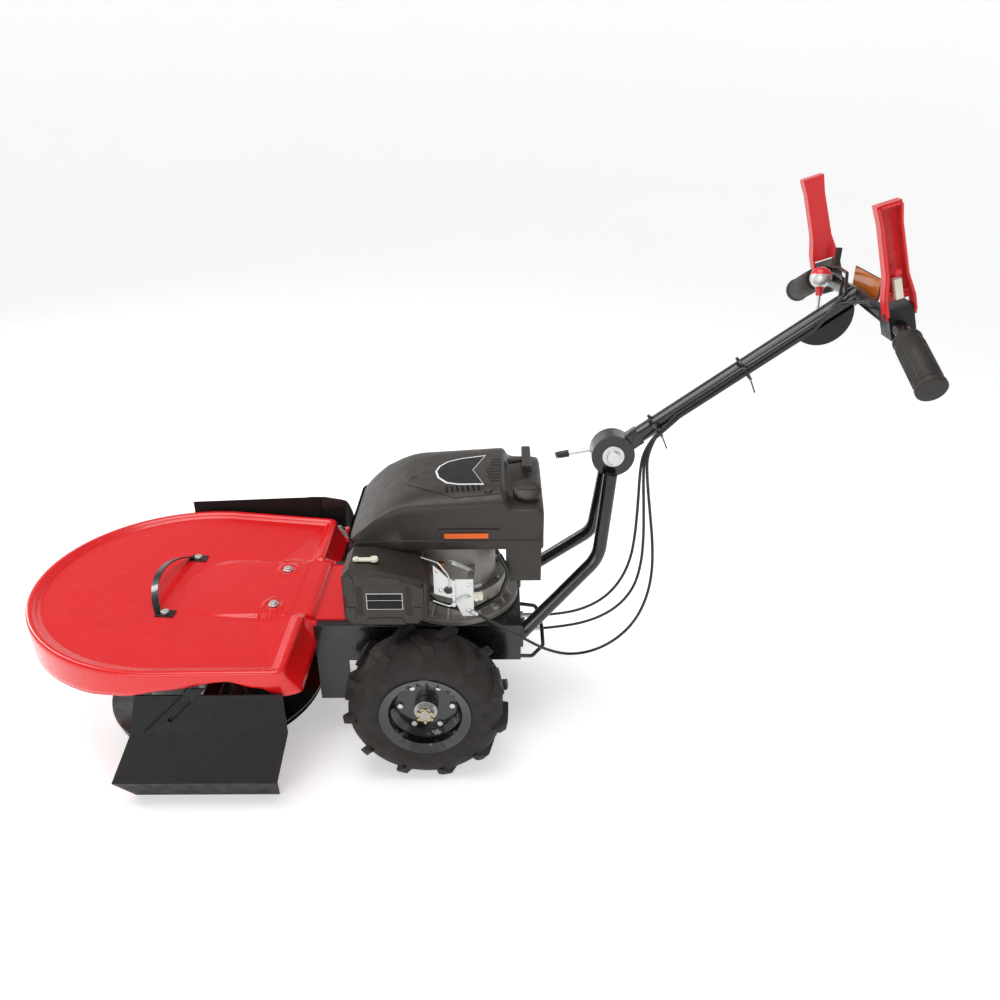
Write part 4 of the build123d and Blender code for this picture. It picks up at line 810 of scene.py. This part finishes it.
class MOWER_OT_engine_details(bpy.types.Operator):
    """Adds the governor springs, linkage, screws, hoses and plug lead around the engine"""

    bl_idname = "mower.engine_details"
    bl_label = "Engine details"

    def execute(self, context):
        bm = bmesh.new()
        for x, z in ((30, 455), (90, 424), (88, 366), (36, 412)):
            pan_screw(bm, (x, -190.2, z), (0, -1, 0), 4.6, 2.2)
        for x, z in ((-46, 422), (-20, 392)):
            hex_bolt(bm, (x, -134, z), (0, -1, 0), 8, 4)
        self.spring(bm, Vector((50, -178, 470)), Vector((96, -150, 430)), 4.2, 16)
        self.spring(bm, Vector((70, -176, 398)), Vector((120, -140, 396)), 3.4, 14)
        tube(bm, rounded([(20, -196, 392), (52, -198, 380), (84, -197, 398), (112, -170, 396)], 10), 1.6, 8)
        tube(bm, rounded([(-4, -150, 462), (30, -172, 462), (52, -193, 446), (52, -193, 420)], 12), 1.5, 8)
        block(bm, (58, -195, 384), (63, -191.5, 436))
        rod(bm, (60, -199, 384), (60, -190, 384), 4.5)
        piece("governor_linkage", bm, "frame", "zinc", bevel=0.0003)
        bm = bmesh.new()
        rod(bm, (34, -150, 404), (34, -150, 444), 6.5)
        rod(bm, (34, -150, 444), (34, -150, 450), 8.5, 7)
        piece("fuel_bowl_post", bm, "frame", "copper", bevel=0.0006)
        bm = bmesh.new()
        block(bm, (98, -196, 392), (116, -184, 404))
        rod(bm, (104, -196, 398), (104, -203, 398), 4)
        piece("lead_connector", bm, "frame", "cream plastic", bevel=0.001)
        bm = bmesh.new()
        hose = rounded([(148, -124, 452), (168, -140, 420), (150, -150, 372), (90, -142, 330),
                        (20, -138, 350), (-20, -126, 388)], 34, 10)
        tube(bm, hose, 5.0, 14)
        lead = rounded([(-172, -12, 446), (-186, -20, 462), (-168, -60, 468), (-150, -90, 470)], 20, 8)
        tube(bm, lead, 3.4, 12)
        piece("fuel_hose", bm, "frame", "cable sheath", crease=60)
        bm = bmesh.new()
        for k in range(10):
            angle = math.radians(200 + k * 16)
            inner = Vector((55 + 96 * math.cos(angle), 96 * math.sin(angle), 0))
            outer = Vector((55 + 124 * math.cos(angle), 124 * math.sin(angle), 0))
            side = Vector((-math.sin(angle), math.cos(angle), 0)) * 2
            low = Vector((0, 0, 298.5))
            slab(bm, [inner + side + low, outer + side + low, inner + side + Vector((0, 0, 344))],
                 side * -2)
        for k in range(8):
            angle = math.radians(22.5 + 45 * k)
            spot = Vector((55 + 97 * math.cos(angle), 97 * math.sin(angle), 299))
            rod(bm, spot, spot + Vector((0, 0, 46)), 8)
            hex_bolt(bm, spot + Vector((0, 0, 46)), (0, 0, 1), 8, 5, 1)
        piece("crankcase_ribs", bm, "frame", "cast alloy", bevel=0.0012)
        return {"FINISHED"}

    @staticmethod
    def spring(bm, start, end, radius, coils):
        """A coil spring with its hooked ends."""
        axis = (end - start).normalized()
        side = axis.orthogonal().normalized()
        across = axis.cross(side)
        points = [start]
        for k in range(coils * 10 + 1):
            angle = TURN * k / 10
            along = start + (end - start) * (0.15 + 0.7 * k / (coils * 10))
            points.append(along + side * math.cos(angle) * radius + across * math.sin(angle) * radius)
        points.append(end)
        tube(bm, points, 0.6, 5)


# ---------------------------------------------------------------- handlebar
def lever_place(side, x, y, z):
    """A place on a hand lever, from its own frame: x forward, y outboard, z up the lever."""
    ahead = Vector((math.cos(LEVER_TILT), 0, math.sin(LEVER_TILT)))
    rise = Vector((-math.sin(LEVER_TILT), 0, math.cos(LEVER_TILT)))
    return Vector((812, side * 180, 944)) + ahead * x + rise * z + Vector((0, side * y, 0))


class MOWER_OT_grips(bpy.types.Operator):
    """Moulds the two rubber grips with long ribs, a neck groove and a flared end cap"""

    bl_idname = "mower.grips"
    bl_label = "Handle grips"

    def execute(self, context):
        bm = bmesh.new()
        corner = Vector((812, 200, 921))
        end = Vector((815, 330, 864))
        way = (end - corner).normalized()
        profile = [(12.6, -118), (21, -118), (23, -116), (23.5, -112), (21.5, -109), (21, -106),
                   (23, -103), (23.2, -60), (22.6, -30), (23, -12), (21.4, -10), (21.4, -8), (24.6, -6),
                   (25, -2), (24.6, 2), (22, 4), (8, 4), (7, 3), (0, 3)]
        rib = Matrix.Translation((22.9, 0, -57)) @ Matrix.Diagonal((1.6, 2.6, 82, 1))
        for side in (-1, 1):
            tip = Vector((end.x, side * end.y, end.z))
            run = Vector((way.x, side * way.y, way.z))
            turn = Vector((0, 0, 1)).rotation_difference(run).to_matrix().to_4x4()
            lathe(bm, profile, Matrix.Translation(tip) @ turn, 64)
            for k in range(24):
                angle = TURN * k / 24
                spin = Matrix.Translation(tip) @ turn @ Matrix.Rotation(angle, 4, "Z")
                bmesh.ops.create_cube(bm, size=1.0, matrix=spin @ rib)
        piece("grips_moulded", bm, "handlebar", "grip rubber", ("handle_grips",),
              bevel=0.0004)
        return {"FINISHED"}


class MOWER_OT_levers(bpy.types.Operator):
    """Moulds the two red hand levers with their channel edges, and the gear knob"""

    bl_idname = "mower.levers"
    bl_label = "Hand levers and knob"

    def execute(self, context):
        for node, body in (("blade_lever", "blade_hand_lever"), ("drive_lever", "drive_hand_lever")):
            low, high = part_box(node)
            self.lever(-1 if low.y + high.y < 0 else 1, node, body)
        bm = bmesh.new()
        knob = Vector((762, 60, 950))
        hub = Vector((756.1, 32, 862.8))
        way = (knob - hub).normalized()
        turn = Vector((0, 0, 1)).rotation_difference(way).to_matrix().to_4x4()
        lathe(bm, [(0, 19), (8, 18.4), (15, 14.5), (19, 8), (20, 1), (18.4, -6), (14, -12), (9, -17),
                   (6.5, -26), (6, -34), (0, -34)], Matrix.Translation(knob) @ turn, 48)
        piece("gear_knob", bm, "shifter", "red plastic", crease=50)
        return {"FINISHED"}

    def lever(self, side, node, body):
        polish(node, "red plastic", 0.003, 35)
        bm = bmesh.new()
        edge = ((22.4, 2), (22.4, 28), (15.6, 66), (14.6, 150), (17.6, 178))
        for flip in (-1, 1):
            for (w0, z0), (w1, z1) in zip(edge, edge[1:]):
                run = [lever_place(side, flip * w0, 12.2, z0), lever_place(side, flip * w1, 12.2, z1)]
                tube(bm, run, 2.2, 10)
        rod(bm, lever_place(side, -14, 12.4, 178), lever_place(side, 14, 12.4, 178), 2.2)
        rod(bm, lever_place(side, 0, 11, 72), lever_place(side, 0, 15, 72), 6.5, 5.5)
        piece(node + "_ridges", bm, body, "red plastic", crease=60)


class MOWER_OT_small_fittings(bpy.types.Operator):
    """Adds the clamp lever's tip, the gauge plate and the wheel nuts' cotter pins"""

    bl_idname = "mower.small_fittings"
    bl_label = "Small fittings"

    def execute(self, context):
        bm = bmesh.new()
        rod(bm, (292, 30.6, 601.5), (264.6, 30.6, 596.4), 7.4, 7.0)
        piece("clamp_lever_tip", bm, "clamp", "black plastic", bevel=0.001)
        bm = bmesh.new()
        block(bm, (823.6, -59, 926), (828.4, 59, 971))
        piece("gauge_plate", bm, "handlebar", "amber plastic", bevel=0.001)
        bm = bmesh.new()
        for side in (-1, 1):
            for k in range(6):
                angle = TURN * k / 6 + math.pi / 6
                low = Vector((17 * math.cos(angle) * 0.86, side * 262, 165 + 17 * math.sin(angle) * 0.86))
                rod(bm, low - Vector((0, side * 2, 0)), low + Vector((0, side * 4, 0)), 3.4)
            rod(bm, (0, side * 264, 146), (0, side * 264, 184), 1.6, sides=10)
        piece("axle_nut_crowns", bm, "drive_axle", "yellow zinc", bevel=0.0004)
        return {"FINISHED"}


# ---------------------------------------------------------------- hard parts
HARD_PARTS = (
    ("black enamel", "chassis_frame deck_arm carry_handle gearbox_housing rear_guard_rod left_fork_tube "
                     "right_fork_tube spindle_housing cutter_drum skid_dish"),
    ("matte black", "left_board right_board"),
    ("zinc", "frame_fasteners"),
    ("steel", "bearings axle_shaft worm_wheel worm_shaft drum_spindle crankshaft engine_pulley "
              "knife_1 knife_2 blade_idler drive_idler"),
    ("belt rubber", "drum_belt drive_belt"),
    ("curtain sheet", "grass_curtain"),
    ("cast alloy", "crankcase cylinder_head carburettor"),
    ("red plastic", "spark_plug"),
    ("exhaust steel", "muffler"),
    ("zinc", "control_bracket wheel_fasteners clamp_lever shift_lever"),
    ("engine plastic", "starter_grip"),
    ("black plastic", "lever_clamps shift_housing throttle_lever"),
    ("cable sheath", "cable_runs"),
    ("rim enamel", "left_rim right_rim"),
    ("tyre rubber", "left_tyre right_tyre"),
    ("cream plastic", "drive_latch blade_latch"),
    ("black enamel", "handlebar_tube"),
)


class MOWER_OT_hard_parts(bpy.types.Operator):
    """Rounds the edges of the plates, tubes, castings and shafts and gives them their finishes"""

    bl_idname = "mower.hard_parts"
    bl_label = "Plates, tubes and castings"

    def execute(self, context):
        for look, nodes in HARD_PARTS:
            for node in nodes.split():
                polish(node, look)
        return {"FINISHED"}


# ---------------------------------------------------------------- stage
class MOWER_OT_stage(bpy.types.Operator):
    """Lays the floor and sets the lights, the world and the camera"""

    bl_idname = "mower.stage"
    bl_label = "Stage"

    def execute(self, context):
        bm = bmesh.new()
        lathe(bm, [(0, 0), (3000, 0), (6000, 0), (7500, 200), (8600, 900), (9200, 2200), (9400, 4500)],
              None, 64)
        floor = piece("floor", bm, None, "floor", crease=60.0, ride=False)
        glow = floor.data.materials[0].node_tree.nodes["Principled BSDF"]
        glow.inputs["Emission Color"].default_value = (1.0, 1.0, 1.0, 1.0)
        glow.inputs["Emission Strength"].default_value = 0.42
        world = bpy.data.worlds.new("Soft white")
        context.scene.world = world
        world.use_nodes = True
        seen = world.node_tree.nodes.new("ShaderNodeLightPath")
        strength = world.node_tree.nodes.new("ShaderNodeMapRange")
        strength.inputs["To Min"].default_value = 0.32
        strength.inputs["To Max"].default_value = 0.96
        world.node_tree.links.new(seen.outputs["Is Camera Ray"], strength.inputs["Value"])
        background = world.node_tree.nodes["Background"]
        background.inputs["Color"].default_value = (1.0, 1.0, 1.0, 1.0)
        world.node_tree.links.new(strength.outputs["Result"], background.inputs["Strength"])
        self.lamp(context, "Overhead", (-0.3, -0.2, 3.6), (0.0, 0.0, 0.3), 2.6, 2.0, 70.0)
        self.lamp(context, "Near fill", (-1.2, -3.6, 1.9), (0.0, 0.0, 0.4), 2.4, 1.6, 40.0)
        self.lamp(context, "Strip", (-2.6, 1.3, 2.1), (-0.4, 0.0, 0.3), 0.35, 2.4, 40.0)
        lens = bpy.data.cameras.new("Camera")
        lens.lens = 30.73
        lens.sensor_width = 36.0
        lens.clip_end = 60.0
        camera = bpy.data.objects.new("Camera", lens)
        context.scene.collection.objects.link(camera)
        place = Matrix.Translation((0.15007, -1.5776, 1.3067))
        tilt = Matrix.Rotation(math.radians(63.2), 4, "X")
        roll = Matrix.Rotation(-0.005, 4, "Z")
        camera.matrix_world = place @ tilt @ roll
        context.scene.camera = camera
        context.scene.view_settings.view_transform = "Standard"
        return {"FINISHED"}

    @staticmethod
    def lamp(context, name, place, target, wide, deep, energy):
        light = bpy.data.lights.new(name, "AREA")
        light.shape = "RECTANGLE"
        light.size = wide
        light.size_y = deep
        light.energy = energy
        made = bpy.data.objects.new(name, light)
        context.scene.collection.objects.link(made)
        turn = (Vector(target) - Vector(place)).to_track_quat("-Z", "Y").to_matrix().to_4x4()
        made.matrix_world = Matrix.Translation(place) @ turn


# ---------------------------------------------------------------- panel and main
class MOWER_PT_panel(bpy.types.Panel):
    """Sizes, colours and build steps of the mower"""

    bl_label = "Brush Mower"
    bl_idname = "MOWER_PT_panel"
    bl_space_type = "VIEW_3D"
    bl_region_type = "UI"
    bl_category = "Mower"

    def draw(self, context):
        layout = self.layout
        for group in (context.scene.mower_sizes, context.scene.mower_colours):
            for name in group.__annotations__:
                layout.prop(group, name)
        for operator in OPERATORS:
            layout.operator(operator.bl_idname)


OPERATORS = (
    MOWER_OT_stage, MOWER_OT_cables, MOWER_OT_deck, MOWER_OT_engine_covers,
    MOWER_OT_air_filter, MOWER_OT_engine_details, MOWER_OT_grips, MOWER_OT_levers,
    MOWER_OT_small_fittings, MOWER_OT_hard_parts,
)
CLASSES = (MowerSizes, MowerColours, *OPERATORS, MOWER_PT_panel)


def register():
    for made in CLASSES:
        bpy.utils.register_class(made)
    bpy.types.Scene.mower_sizes = bpy.props.PointerProperty(type=MowerSizes)
    bpy.types.Scene.mower_colours = bpy.props.PointerProperty(type=MowerColours)


def unregister():
    del bpy.types.Scene.mower_colours
    del bpy.types.Scene.mower_sizes
    for made in reversed(CLASSES):
        bpy.utils.unregister_class(made)


def main():
    register()
    for operator in OPERATORS:
        group, name = operator.bl_idname.split(".")
        getattr(getattr(bpy.ops, group), name)()


if __name__ == "__main__":
    main()
